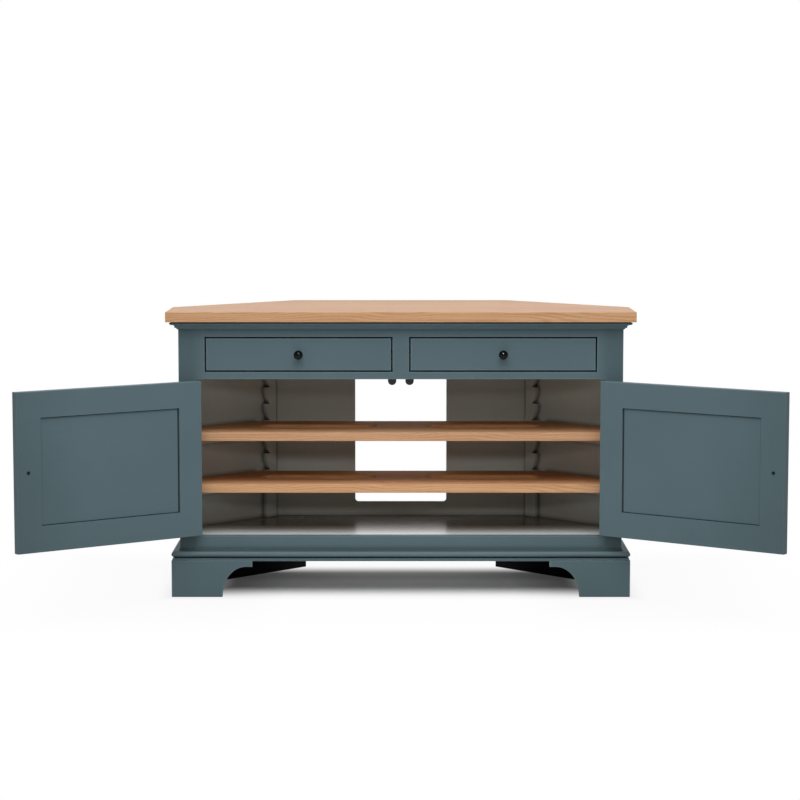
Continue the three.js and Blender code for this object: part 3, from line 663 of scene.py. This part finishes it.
def oak_grain_group():
    """Oak with its grain along X, solid all through. Each stave has a heart of its own. The rings
    are a sine of the distance from the heart, which noise drawn out along the grain pushes into
    long arches. Pores are short dark dashes and rays pale flecks, both from drawn out noise."""
    inputs = {"Vector": "Vector", "Stave": "Float", "Pale": "Color", "Dark": "Color"}
    tree, given, result = start_group("oak_grain", inputs, COAT)
    parts = parts_of(tree, given["Vector"])
    stave = sums(tree, "FLOOR", sums(tree, "DIVIDE", parts["Y"], given["Stave"]))
    random = wire(tree, "TexWhiteNoise", {"W": stave}, noise_dimensions="1D").outputs["Color"]
    draws = wire(tree, "SeparateColor", {0: random}).outputs
    links = {0: times(tree, stave, 3.7), 1: draws[0], 2: draws[1]}
    shift = wire(tree, "CombineXYZ", links).outputs[0]
    moved = wire(tree, "VectorMath", {0: given["Vector"], 1: shift}, operation="ADD").outputs[0]
    in_stave = less(tree, parts["Y"], times(tree, stave, given["Stave"]))
    beside = less(tree, in_stave, spread(tree, draws[0], 0.0, 1.0, -0.02, 0.11))
    below = sums(tree, "ADD", parts["Z"], spread(tree, draws[1], 0.0, 1.0, 0.02, 0.09))
    square = sums(tree, "MULTIPLY_ADD", beside, beside, times(tree, below, below))
    arches = spread(tree, drawn_out(tree, moved, ARCH_GRAIN), 0.25, 0.75, -0.022, 0.022)
    heart = sums(tree, "ADD", sums(tree, "SQRT", square), arches)
    wobble = drawn_out(tree, moved, WOBBLE_GRAIN, 3.0)
    phase = sums(tree, "MULTIPLY_ADD", wobble, 2.2, times(tree, heart, RING_DENSITY))
    ring = spread(tree, sums(tree, "SINE", phase), -1.0, 1.0)
    late = sums(tree, "POWER", ring, 2.4)
    streaks = drawn_out(tree, moved, STREAK_GRAIN, 3.0, 0.6)
    dashes = drawn_out(tree, moved, PORE_GRAIN, 1.0)
    flecks = drawn_out(tree, moved, RAY_GRAIN, 1.0)
    crowded = spread(tree, ring, 0.2, 0.9, 0.35, 1.0)
    pores = times(tree, spread(tree, dashes, 0.36, 0.30), crowded)
    rays = spread(tree, flecks, 0.66, 0.74)
    depth = sums(tree, "MULTIPLY_ADD", late, 0.42, varied(tree, streaks, 0.0, 0.5))
    wood = blended(tree, depth, given["Pale"], given["Dark"])
    wood = blended(tree, times(tree, pores, 0.45), wood, shaded(tree, given["Dark"], 0.55))
    wood = blended(tree, times(tree, rays, 0.22), wood, shaded(tree, given["Pale"], 1.12))
    feed(
        tree, result, Color=shaded(tree, wood, spread(tree, draws[2], 0.0, 1.0, 0.93, 1.06)),
        Roughness=sums(tree, "MULTIPLY_ADD", pores, 0.2, varied(tree, streaks, 0.44, 0.52)),
        Height=sums(tree, "MULTIPLY_ADD", pores, -0.7, times(tree, late, 0.25)),
    )
    return tree


OAK_GRAIN = oak_grain_group()
OAK_PALE = srgb(222, 178, 138)
OAK_DARK = srgb(190, 138, 96)
# The multiplier of the painted shade that deepens towards the back of a shelf.
REAR_PAINTED_SHADE = (0.7, 0.58, 0.46)
PLAIN = (1.0, 1.0, 1.0)
PORE_DEPTH = 0.0002
# The oak's paler arrises, rubbed finish and painted highlight, and its painted shade in crevices.
OAK_WEAR, OAK_HOLLOW_SHADE = (0.5, 0.002), (0.006, 0.35)


def lacquered_oak(
    name, stave, centre, gloss=0.38, dullness=0.0, turn=0.0, tone=PLAIN, rim=PLAIN, painted_shade_depth=None
):
    """Finishes a board in lacquered oak. centre is the point that its staves are counted from,
    dullness is added to its roughness, turn is the angle of its grain in plan, tone tints its level
    faces and rim its upright ones, apart as painted light, and the last argument gives how far back
    from its front edge a painted shade deepens in full."""
    material, tree, shader = start_finish(name, {"Specular IOR Level": gloss})
    placing = {"Vector": object_place(tree), "Location": centre, "Rotation": (0, 0, turn)}
    place = wire(tree, "Mapping", placing, vector_type="TEXTURE").outputs[0]
    grain = use_group(tree, OAK_GRAIN, Vector=place, Stave=stave, Pale=OAK_PALE, Dark=OAK_DARK)
    # Level and upright faces take different tints, as painted light.
    facing_up = parts_of(tree, wire(tree, "NewGeometry").outputs["True Normal"])["Z"]
    level = spread(tree, sums(tree, "ABSOLUTE", facing_up), 0.3, 0.7)
    wood = stretched(tree, grain["Color"], blended(tree, level, (*rim, 1.0), (*tone, 1.0)))
    # Painted shade, deepening from the front edge towards the back.
    if painted_shade_depth:
        front = centre[1]
        deep = spread(tree, from_middle(tree)[1], front, front + painted_shade_depth)
        wood = blended(tree, deep, wood, stretched(tree, wood, REAR_PAINTED_SHADE))
    bare = shaded(tree, wood, 1.12)
    feed(
        tree, shader, Base_Color=aged(tree, place, wood, bare, OAK_WEAR, OAK_HOLLOW_SHADE),
        Roughness=sums(tree, "ADD", grain["Roughness"], dullness),
        Normal=bumped(tree, grain["Height"], 0.4, PORE_DEPTH),
    )
    return material


TOP_STAVES = 5
# The top's level faces are tinted apart from its upright faces as painted light.
TOP_TONE, TOP_UPRIGHT_PAINTED_LIGHT = (0.85, 0.85, 0.86), (0.92, 0.9, 0.85)
low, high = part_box("top_board")
centre = (0.0, low.y, (low.z + high.z) / 2)
top_oak = lacquered_oak(
    "top_oak", (high.y - low.y) / TOP_STAVES, centre, tone=TOP_TONE, rim=TOP_UPRIGHT_PAINTED_LIGHT
)
finished("top_board", top_oak, OAK_ARRIS)

# Shelf battens and cleats. Softwood cut to a row of sawteeth stands at the front and rear of each
# side, and a loose cleat drops onto one tooth of each, so that the shelves can be moved.

SMALL_ARRIS = 0.0006
LEVELS = ("lower", "upper")
# The battens' teeth take a deep painted shade in their notches.
BATTEN_PAINT = painted("batten_paint", UPRIGHT, WARM_GREY, WARM_GREY_WEAR_AND_HIGHLIGHT, shade_in_hollows=(0.012, 0.1))
for side in SIDES:
    for place in ("rear", "front"):
        finished(f"{place}_batten_{side}", BATTEN_PAINT, SMALL_ARRIS)
    for level in LEVELS:
        finished(f"{level}_cleat_{side}", INNER_PAINT, SMALL_ARRIS)

# Shelves. Two oak boards glued up like the top, cut to the plan of the cupboard with a long slot
# each side for cables and air, and laid loose on the cleats.

SHELF_STAVES = 3
SHELF_COAT = {"gloss": 0.1, "dullness": 0.25}
# A shelf's tone and rim tint its level and upright faces apart, as painted light.
SHELF_LOOKS = {  # the shift of its grain along the board, its tone and its rim
    "lower": (0.0, (1.0, 0.98, 0.97), (1.04, 1.02, 0.99)),
    "upper": (0.31, (0.94, 0.94, 0.97), (0.95, 0.94, 0.97)),
}
for level, (shift, tone, rim) in SHELF_LOOKS.items():
    shelf = level + "_shelf"
    low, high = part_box(shelf)
    centre = (shift, low.y, (low.z + high.z) / 2)
    stave = (high.y - low.y) / SHELF_STAVES
    looks = {"tone": tone, "rim": rim, **SHELF_COAT}
    shelf_oak = lacquered_oak(shelf + "_oak", stave, centre, painted_shade_depth=stave, **looks)
    finished(shelf, shelf_oak, OAK_ARRIS)

# Drawers. Oak boxes with a bottom let into a groove, guided by three oak bars on the deck. The
# painted front is screwed on from inside, and its knob is turned and bronzed.

DRAWER_STAVE, DRAWER_STAVE_SHIFT = 0.12, 0.05
DRAWER_COAT = {"gloss": 0.2, "dullness": 0.15}

_, deep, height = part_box("drawer_box_right")[0]
centre = (DRAWER_STAVE_SHIFT, deep, height)
drawer_oak = lacquered_oak("drawer_oak", DRAWER_STAVE, centre, **DRAWER_COAT)
centre = (0.0, deep, height)
guide_oak = lacquered_oak("guide_oak", DRAWER_STAVE, centre, turn=pi / 2, **DRAWER_COAT)
finished("drawer_guide_centre", guide_oak, SMALL_ARRIS)
for side in SIDES:
    finished("drawer_guide_" + side, guide_oak, SMALL_ARRIS)
    finished("drawer_box_" + side, drawer_oak, SMALL_ARRIS)
    finished("drawer_bottom_" + side, drawer_oak, SMALL_ARRIS)
    finished("drawer_front_" + side, BLUE_ACROSS, PAINT_ARRIS / 2)

# Doors. Mortised frames round a thinner flat panel, in the same wood and paint, each hung on two
# butt hinges and standing open. Brush lines follow each member: upright on the stiles, level on the
# rails and panel.

HINGE_OF = {joint["child"]: joint for joint in frame["joints"] if joint["type"] == "hinge"}
open_angle = radians(max(abs(limit) for limit in HINGE_OF["door_right"]["range_deg"]))
DOOR_FRAME_WIDTH = 0.0627
DOOR_WIDTH = 0.4985
# Where a door's painted light turns to painted shade, and how pale and how dark they are.
DOOR_PAINTED_LIGHT_AND_SHADE = (0.6 * DOOR_WIDTH, DOOR_WIDTH, 1.05, 0.87)
PANEL_TONGUE, PANEL_THICKNESS = 0.008, 0.009
GROOVE_WIDTH, GROOVE_DEPTH, HINGE_GROOVE_WIDTH = 0.0013, 0.0038, 0.0032


def door_place(side):
    """Gives the point on a door as if it were shut, measured from its hinge's axis."""
    def place(tree):
        return wire(tree, "Mapping", {
            "Vector": object_place(tree),
            "Location": HINGE_OF["door_" + side]["pos_m"],
            "Rotation": (0, 0, SIDES[side] * open_angle),
        }, vector_type="TEXTURE").outputs[0]
    return place


def door_painted_light_and_shade(side):
    """Blue with painted light and shade across the door: a little paler from the hinge to past the
    middle, and darker towards the free edge.
    """
    def tone(tree):
        across = sums(tree, "ABSOLUTE", parts_of(tree, door_place(side)(tree))["X"])
        return shaded(tree, BLUE[:3], spread(tree, across, *DOOR_PAINTED_LIGHT_AND_SHADE))
    return tone


def along_member(tree, place):
    """Brush lines run upright within a stile's width of the door's sides, and level between."""
    across = sums(tree, "ABSOLUTE", parts_of(tree, place)["X"])
    from_centre = sums(tree, "ABSOLUTE", less(tree, across, DOOR_WIDTH / 2))
    on_stile = sums(tree, "GREATER_THAN", from_centre, DOOR_WIDTH / 2 - DOOR_FRAME_WIDTH)
    return wire(tree, "Mix", {0: on_stile, 4: ACROSS, 5: UPRIGHT}, data_type="VECTOR").outputs[1]


def swung(points, side, angle):
    """Points turned about the axis of a door's hinges."""
    axis = np.array(HINGE_OF["door_" + side]["pos_m"])
    turn = np.array([[cos(angle), -sin(angle), 0], [sin(angle), cos(angle), 0], [0, 0, 1]])
    return (points - axis) @ turn.T + axis


def hung(points, side):
    """Takes points drawn with the doors shut to where the open door holds them."""
    return swung(points, side, SIDES[side] * open_angle)


def shut_centre(node, side):
    """The middle of a door's node, with the door shut."""
    low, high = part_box(node)
    return swung(np.array((low + high) / 2), side, -SIDES[side] * open_angle)


def ring_quads(rings, steps):
    """Quads between neighbouring rings of points, point j of ring i being number i * steps + j."""
    rows, columns = np.meshgrid(np.arange(rings - 1) * steps, np.arange(steps), indexing="ij")
    a, b = rows + columns, rows + (columns + 1) % steps
    return np.stack([a, b, b + steps, a + steps], 2).reshape(-1, 4).tolist()


def grooved_panel(middle, half, sign):
    """A flat panel with a groove round each face, just inside the tongue that the frame hides, and
    wider along the hinges. Ring k is the panel's outline drawn in by its inset and stands at depth
    k, from the middle of one face round to the other. sign is the side of the hinges."""
    inner = np.array([1, 1, 0, 0, 0])
    inset = PANEL_TONGUE * np.array([1, 1, 1, 1, 0])
    drop = np.array([0, GROOVE_DEPTH, GROOVE_DEPTH, 0, 0])
    inner, inset = [np.append(row, row[::-1])[:, None] for row in (inner, inset)]
    depth = np.append(drop - half[1], half[1] - drop[::-1])[:, None]
    width = np.where(np.array([-1, 1, 1, -1]) == sign, HINGE_GROOVE_WIDTH, GROOVE_WIDTH)
    across = np.array([-1, 1, 1, -1]) * (half[0] - inset - inner * width)
    up = np.array([-1, -1, 1, 1]) * (half[2] - inset - inner * GROOVE_WIDTH)
    points = np.stack([across, depth + 0 * across, up], 2).reshape(-1, 3) + middle
    caps = [[3, 2, 1, 0], list(range(len(points) - 4, len(points)))]
    return points, ring_quads(len(inset), 4) + caps


for side in SIDES:
    coat = {"vector": door_place(side), "gloss": FRAME_COAT["gloss"]}
    # The tone carries each door's painted light and shade.
    tone = door_painted_light_and_shade(side)
    frame_paint = painted(f"door_{side}_frame_paint", along_member, tone, BLUE_WEAR_AND_HIGHLIGHT, **coat)
    panel_paint = painted(f"door_{side}_panel_paint", ACROSS, tone, BLUE_WEAR_AND_HIGHLIGHT, **coat)
    finished(f"door_{side}_frame", frame_paint, PAINT_ARRIS / 2)
    panel = f"door_{side}_panel"
    low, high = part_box(panel)
    half_width = DOOR_WIDTH / 2 - DOOR_FRAME_WIDTH + PANEL_TONGUE
    half = (half_width, PANEL_THICKNESS / 2, (high.z - low.z) / 2)
    points, faces = grooved_panel(shut_centre(panel, side), half, SIDES[side])
    piece_from(panel, hung(points, side), faces, panel_paint)

# Knobs. Turned steel, bronzed almost black and waxed, each on a stud through the wood: a small
# rosette, a neck and a flattened ball, with a round nut inside on the doors.

KNOB_STEPS = 64
KNOB_LENGTH, KNOB_RADIUS = 0.026, 0.0113
ROSETTE_RADIUS, ROSETTE_THICKNESS = 0.0066, 0.0024
NECK_RADIUS, NECK_LENGTH = 0.0042, 0.008
STUD_RADIUS = 0.002
BALL_START = -0.78
WAIST_DEPTH = 0.0009
KNOB_ARRIS = 0.0002
BRONZE_DEPTH = 0.0002


def dark_bronze():
    """Near-black bronzing, a little brown rubbed through where hands polish rim and crown."""
    material, tree, shader = start_finish("dark_bronze", {"Specular IOR Level": 0.15})
    place = object_place(tree)
    clouds = noise(tree, place, 240.0, 4.0, 0.6)
    worn = use_group(tree, EDGE_WEAR_AND_HIGHLIGHT, Vector=place, Radius=0.0012)["Mask"]
    base = blended(tree, spread(tree, clouds, 0.35, 0.65), srgb(3, 7, 10), srgb(7, 12, 15))
    feed(
        tree, shader, Base_Color=blended(tree, times(tree, worn, 0.12), base, srgb(70, 62, 52)),
        Roughness=varied(tree, clouds, 0.07, 0.12),
        Normal=bumped(tree, clouds, 0.06, BRONZE_DEPTH),
    )
    return material


def ring_fans(rings, steps):
    """Triangles that close the first and the last ring on the two points that follow the rings."""
    rim = np.arange(steps)
    top = rim + (rings - 1) * steps
    first, last = np.full(steps, rings * steps), np.full(steps, rings * steps + 1)
    fans = [np.stack([first, np.roll(rim, -1), rim], 1), np.stack([last, top, np.roll(top, -1)], 1)]
    return np.concatenate(fans).tolist()


def turned(profile, steps):
    """A profile of [radius, height] spun about its axis: point (i, j) stands at radius i times the
    cosine and sine of angle j. Both ends of the profile close on the axis."""
    angle = np.linspace(0, 2 * pi, steps, endpoint=False)
    ring = np.stack([np.cos(angle), np.sin(angle)], 1)
    inner = profile[1:-1]
    sides = inner[:, None, :1] * ring[None]
    heights = np.broadcast_to(inner[:, None, 1:], (*sides.shape[:2], 1))
    points = np.concatenate([sides, heights], 2).reshape(-1, 3)
    ends = np.array([[0, 0, profile[0][1]], [0, 0, profile[-1][1]]])
    faces = ring_quads(len(inner), steps) + ring_fans(len(inner), steps)
    return np.concatenate([points, ends]), faces


def knob_profile(stud):
    """The knob from stud to crown: stud, rosette with a rolled rim, waisted neck and ball."""
    ball_radius = (KNOB_LENGTH - NECK_LENGTH - ROSETTE_THICKNESS) / 2
    centre = (0, KNOB_LENGTH - ball_radius)
    rim = ROSETTE_THICKNESS / 2 - GLUE_LINE / 2
    inset = ROSETTE_RADIUS - rim
    ball = quarter(centre, (KNOB_RADIUS, ball_radius), BALL_START, 0)
    crown = quarter(centre, (KNOB_RADIUS, ball_radius), 0, 1)[1:]
    rise = np.linspace(0, 1, MOULDING_STEPS)[1:-1, None]
    foot = np.array([[NECK_RADIUS, ROSETTE_THICKNESS]])
    waist = foot + (ball[:1] - foot) * rise
    waist[:, 0] -= WAIST_DEPTH * np.sin(rise[:, 0] * pi)
    return np.concatenate([
        [[0, -stud], [STUD_RADIUS, -stud], [STUD_RADIUS, GLUE_LINE], [inset, GLUE_LINE]],
        quarter((inset, GLUE_LINE + rim), (rim, rim), -1, 1)[1:],
        foot, waist, ball, crown,
    ])


def stood_at(points, x, z):
    """Turns points drawn about a vertical axis to point forward from the face frame at (x, z)."""
    return np.stack([points[:, 0] + x, FACE - points[:, 2], z + points[:, 1]], 1)


BRONZE = dark_bronze()
KNOBS = bpy.data.collections.new("knobs")
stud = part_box("drawer_front_right")[1].y - FACE
knob_points, knob_faces = turned(knob_profile(stud), KNOB_STEPS)
for side in SIDES:
    on_drawer, on_door = "drawer_knob_" + side, f"door_{side}_knob"
    middle = sum(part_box(on_drawer), Vector()) / 2
    x, _, z = shut_centre(on_door, side)
    for knob, points in (
        (on_drawer, stood_at(knob_points, middle.x, middle.z)),
        (on_door, hung(stood_at(knob_points, x, z), side)),
    ):
        KNOBS.objects.link(piece_from(knob, points, knob_faces, BRONZE, KNOB_ARRIS))
    finished(on_door + "_nut", BRONZE, FINE_ARRIS)

# Hinges and their screws. Pressed steel butt hinges with a loose pin, let into the stiles and the
# doors' edges and held by three countersunk cross-head screws in each leaf.

LEAF_ARRIS = 0.0002
PRESS_LINE_DEPTH = 0.0001
STILE_WIDTH, DOOR_GAP = 0.044, 0.002
SCREW_DEPTH = 0.0095
SCREW_PITCH = 0.0155
SCREW_RADIUS = 0.0027
SCREW_RISE, SCREW_SINK = 0.0002, 0.0009
CROSS_HALF, CROSS_LENGTH, CROSS_FADE = 0.00042, 0.0017, 1.25
SCREW_RINGS, SCREW_STEPS = 14, 48


def hinge_steel():
    """Satin steel with fine lines from the press across the leaves and a few dull spots."""
    material, tree, shader = start_finish("hinge_steel", {"Metallic": 1.0})
    place = object_place(tree)
    lines = drawn_out(tree, place, (900.0, 900.0, 60.0))
    spots = spread(tree, noise(tree, place, 90.0, 3.0), 0.4, 0.7, 0.28, 0.5)
    tone = varied(tree, lines, 0.85, 1.1)
    feed(
        tree, shader, Base_Color=shaded(tree, srgb(150, 150, 148)[:3], tone),
        Roughness=sums(tree, "ADD", spots, varied(tree, lines, 0.0, 0.08)),
        Normal=bumped(tree, lines, 0.2, PRESS_LINE_DEPTH),
    )
    return material


def screw_heads(centres, out):
    """Heads of cross-head screws round an axis that points along X. The height over a grid of
    radius and angle is a low dome, less a cross whose arms fade out towards their ends, and the rim
    turns down into the leaf."""
    radius = np.linspace(0, SCREW_RADIUS, SCREW_RINGS)[1:, None]
    angle = np.linspace(0, 2 * pi, SCREW_STEPS, endpoint=False)[None]
    y, z = radius * np.cos(angle), radius * np.sin(angle)
    dome = SCREW_RISE * (1 - (radius / SCREW_RADIUS) ** 2) + 0 * angle
    arm = np.minimum(np.abs(y), np.abs(z))
    slot = (arm < CROSS_HALF) * np.clip(CROSS_FADE * (1 - radius / CROSS_LENGTH), 0, 1)
    height = dome - SCREW_SINK * slot
    points = np.stack([out * height, y, z], 2).reshape(-1, 3)
    skirt = points[-SCREW_STEPS:] - [out * SCREW_SINK, 0, 0]
    centre = [[out * (SCREW_RISE - SCREW_SINK), 0, 0]]
    head = np.concatenate([points, skirt, centre, [skirt.mean(0)]])
    faces = ring_quads(SCREW_RINGS, SCREW_STEPS) + ring_fans(SCREW_RINGS, SCREW_STEPS)
    every = np.concatenate([head + centre for centre in centres])
    starts = range(0, len(every), len(head))
    return every, [[corner + start for corner in face] for start in starts for face in faces]


STEEL = hinge_steel()
for side, sign in SIDES.items():
    screw_places = []
    for level in LEVELS:
        leaf = f"hinge_{level}_frame_leaf_{side}"
        finished(leaf, STEEL, LEAF_ARRIS, 2)
        finished(f"door_{side}_hinge_{level}_leaf", STEEL, LEAF_ARRIS, 2)
        low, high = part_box(leaf)
        for step in (-1, 0, 1):
            height = (low.z + high.z) / 2 + step * SCREW_PITCH
            screw_places.append([sign * (HALF_WIDTH - STILE_WIDTH), FACE + SCREW_DEPTH, height])
    screw_places = np.array(screw_places)
    points, faces = screw_heads(screw_places, -sign)
    screws = piece_from(f"frame_hinge_screws_{side}", points, faces, STEEL, 0)
    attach(screws, "cabinet")
    points, faces = screw_heads(screw_places - [sign * DOOR_GAP, 0, 0], sign)
    screws = piece_from(f"door_hinge_screws_{side}", hung(points, side), faces, STEEL, 0)
    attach(screws, "door_" + side)

# Door catches. Two round-nosed blocks of dark grey nylon under the deck, each with a magnet inside
# that holds the plate on a shut door.

CATCH_ARRIS = 0.0012
TEXTURE_DEPTH = 0.0001


def catch_nylon():
    """Moulded nylon with a fine spark-eroded texture and scuffs where the doors touch it."""
    material, tree, shader = start_finish("catch_nylon", {"Specular IOR Level": 0.4})
    place = object_place(tree)
    grain = noise(tree, place, 1600.0, 2.0)
    scuffs = spread(tree, drawn_out(tree, place, (90.0, 90.0, 500.0), 3.0), 0.55, 0.7)
    worn = times(tree, scuffs, 0.35)
    feed(
        tree, shader, Base_Color=blended(tree, worn, srgb(50, 53, 51), srgb(84, 85, 81)),
        Roughness=varied(tree, grain, 0.42, 0.62),
        Normal=bumped(tree, grain, 0.3, TEXTURE_DEPTH),
    )
    return material


CATCH_NYLON = catch_nylon()
for side in SIDES:
    finished("door_catch_" + side, CATCH_NYLON, CATCH_ARRIS, 4)

# Studio. A pale floor that keeps the cabinet's shadow and turns to plain white away from it, and a
# world that is white behind the cabinet and dim in front, as in a room with a white sweep.

WHITE = (1.0, 1.0, 1.0, 1.0)
CARD_GREY = (0.86, 0.86, 0.86)
FLOOR_HALF = 30.0
CLEAR_OF_FEET = 0.0002
SHADOW_INSIDE, SHADOW_OUTSIDE = 0.155, 0.05
SHADOW_GLOW = 0.04
FAINT_EDGE = 0.95
WALL_SHADOW = 0.28
REAR_EDGE, REAR_STEEPNESS = 0.3, 1.6
# Where the painted shadow under the plinth deepens towards the rear and the sides, and how grey it gets.
CARD_REAR, CARD_REAR_PAINTED_SHADOW = (0.12, 0.19), 0.6
CARD_SIDE, CARD_SIDE_PAINTED_SHADOW = (0.28, 0.42), 0.35


def studio_floor():
    """A flat sheet just under the feet. Camera and mirror rays see it turn to white from a little
    inside the outline of the plinth to a little outside it, by the greatest of the distances past
    its straight sides. Under the plinth a painted shadow makes the sheet greyer towards the rear
    and the sides."""
    mesh = bpy.data.meshes.new("studio_floor")
    corners = np.array([(-1, -1, 0), (1, -1, 0), (1, 1, 0), (-1, 1, 0)]) * FLOOR_HALF
    mesh.from_pydata((corners - [0, 0, CLEAR_OF_FEET]).tolist(), [], [(0, 1, 2, 3)])
    material = bpy.data.materials.new("studio_floor")
    tree = emptied(material)
    across, deep, _ = from_middle(tree)
    beside = less(tree, across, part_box("plinth_return_right")[1].x)
    before = less(tree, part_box("plinth_front")[0].y, deep)
    diagonal = less(tree, sums(tree, "ADD", across, deep), WALL_LINE)
    past_walls = less(tree, times(tree, diagonal, sqrt(0.5)), WALL_SHADOW)
    half_way = (SHADOW_OUTSIDE - SHADOW_INSIDE) / 2
    behind = sums(tree, "MULTIPLY_ADD", less(tree, deep, REAR_EDGE), REAR_STEEPNESS, half_way)
    farther = sums(tree, "MAXIMUM", past_walls, behind)
    past = sums(tree, "MAXIMUM", sums(tree, "MAXIMUM", beside, before), farther)
    soft = {"interpolation_type": "SMOOTHSTEP"}
    near = spread(tree, past, -SHADOW_INSIDE, SHADOW_OUTSIDE, SHADOW_GLOW, **soft)
    far = spread(tree, past, SHADOW_OUTSIDE, 10 * SHADOW_OUTSIDE, FAINT_EDGE, 1.0)
    rays = wire(tree, "LightPath").outputs
    seen = sums(tree, "MAXIMUM", rays["Is Camera Ray"], rays["Is Glossy Ray"])
    rear_painted_shadow = spread(tree, deep, *CARD_REAR, 1.0, CARD_REAR_PAINTED_SHADOW)
    side_painted_shadow = spread(tree, across, *CARD_SIDE, 1.0, CARD_SIDE_PAINTED_SHADOW)
    card_color = shaded(tree, CARD_GREY, times(tree, rear_painted_shadow, side_painted_shadow))
    card = wire(tree, "BsdfDiffuse", {"Color": card_color}).outputs[0]
    white = wire(tree, "Emission", {"Color": WHITE, "Strength": 1.0}).outputs[0]
    share = times(tree, times(tree, near, far), seen)
    mix = wire(tree, "MixShader", {0: share, 1: card, 2: white})
    wire(tree, "OutputMaterial", {0: mix.outputs[0]})
    mesh.materials.append(material)
    placed("studio_floor", mesh)


AMBIENT, AMBIENT_RISE = (0.12, 0.62), (0.0, 0.7)
DIM_ROOM, TURNS_WHITE = 0.16, (-0.35, 0.5)


def studio_world():
    """White for camera rays and plain grey for soft light. Mirror rays see white behind the cabinet
    and a dim room in front, by the sine of how far back a direction points."""
    world = bpy.data.worlds.new("studio_world")
    bpy.context.scene.world = world
    tree = emptied(world)
    aim = parts_of(tree, wire(tree, "TexCoord").outputs["Generated"])
    back = spread(tree, aim["Y"], *TURNS_WHITE, DIM_ROOM)
    rays = wire(tree, "LightPath").outputs
    mirror = sums(tree, "MAXIMUM", rays["Is Glossy Ray"], rays["Is Transmission Ray"])
    soft = spread(tree, aim["Z"], *AMBIENT_RISE, *AMBIENT)
    level = sums(tree, "MULTIPLY_ADD", less(tree, back, soft), mirror, soft)
    level = sums(tree, "MAXIMUM", level, rays["Is Camera Ray"])
    sky = wire(tree, "Background", {"Color": WHITE, "Strength": level})
    wire(tree, "OutputWorld", {0: sky.outputs[0]})


def softbox(name, place, target, size, power, in_mirrors=False):
    """A rectangular lamp, turned to face a point. Only gloss sees it if it is in mirrors, and only
    matt surfaces otherwise."""
    lamp = bpy.data.lights.new(name, "AREA")
    lamp.shape = "RECTANGLE"
    lamp.size, lamp.size_y = size
    lamp.energy = power
    light = placed(name, lamp)
    light.location = place
    light.visible_glossy = in_mirrors
    light.visible_diffuse = not in_mirrors
    light.rotation_euler = (Vector(target) - Vector(place)).to_track_quat("-Z", "Y").to_euler()
    return light


studio_floor()
studio_world()
softbox("overhead_softbox", (0.0, -1.1, 3.0), (0.0, -0.1, 0.4), size=(3.4, 1.6), power=31.0)
softbox("front_softbox", (0.0, -3.0, 3.4), (0.0, 0.0, 0.3), size=(3.0, 2.0), power=59.0)
softbox("low_softbox", (0.0, -4.2, 1.45), (0.0, 0.0, 0.35), size=(2.4, 0.35), power=14.0)
sparkle = softbox(
    "knob_sparkle", (0.0, -3.0, 2.3), (0.0, 0.0, 0.5), size=(0.75, 0.75), power=200.0,
    in_mirrors=True,
)
sparkle.light_linking.receiver_collection = KNOBS

# Camera. It stands on the cabinet's middle plane as in the photograph, looking slightly down, with
# a long lens.

CAMERA_PLACE, CAMERA_TILT = (-0.00208, -5.89704, 1.07896), 84.195
CAMERA_LENS, SENSOR_WIDTH = 107.06, 36.0
FARTHEST = 200.0

lens = bpy.data.cameras.new("camera")
lens.lens = CAMERA_LENS
lens.sensor_width = SENSOR_WIDTH
lens.clip_end = FARTHEST
camera = placed("camera", lens)
camera.location = CAMERA_PLACE
camera.rotation_euler = (radians(CAMERA_TILT), 0.0, 0.0)
bpy.context.scene.camera = camera
bpy.context.scene.view_settings.view_transform = "Standard"
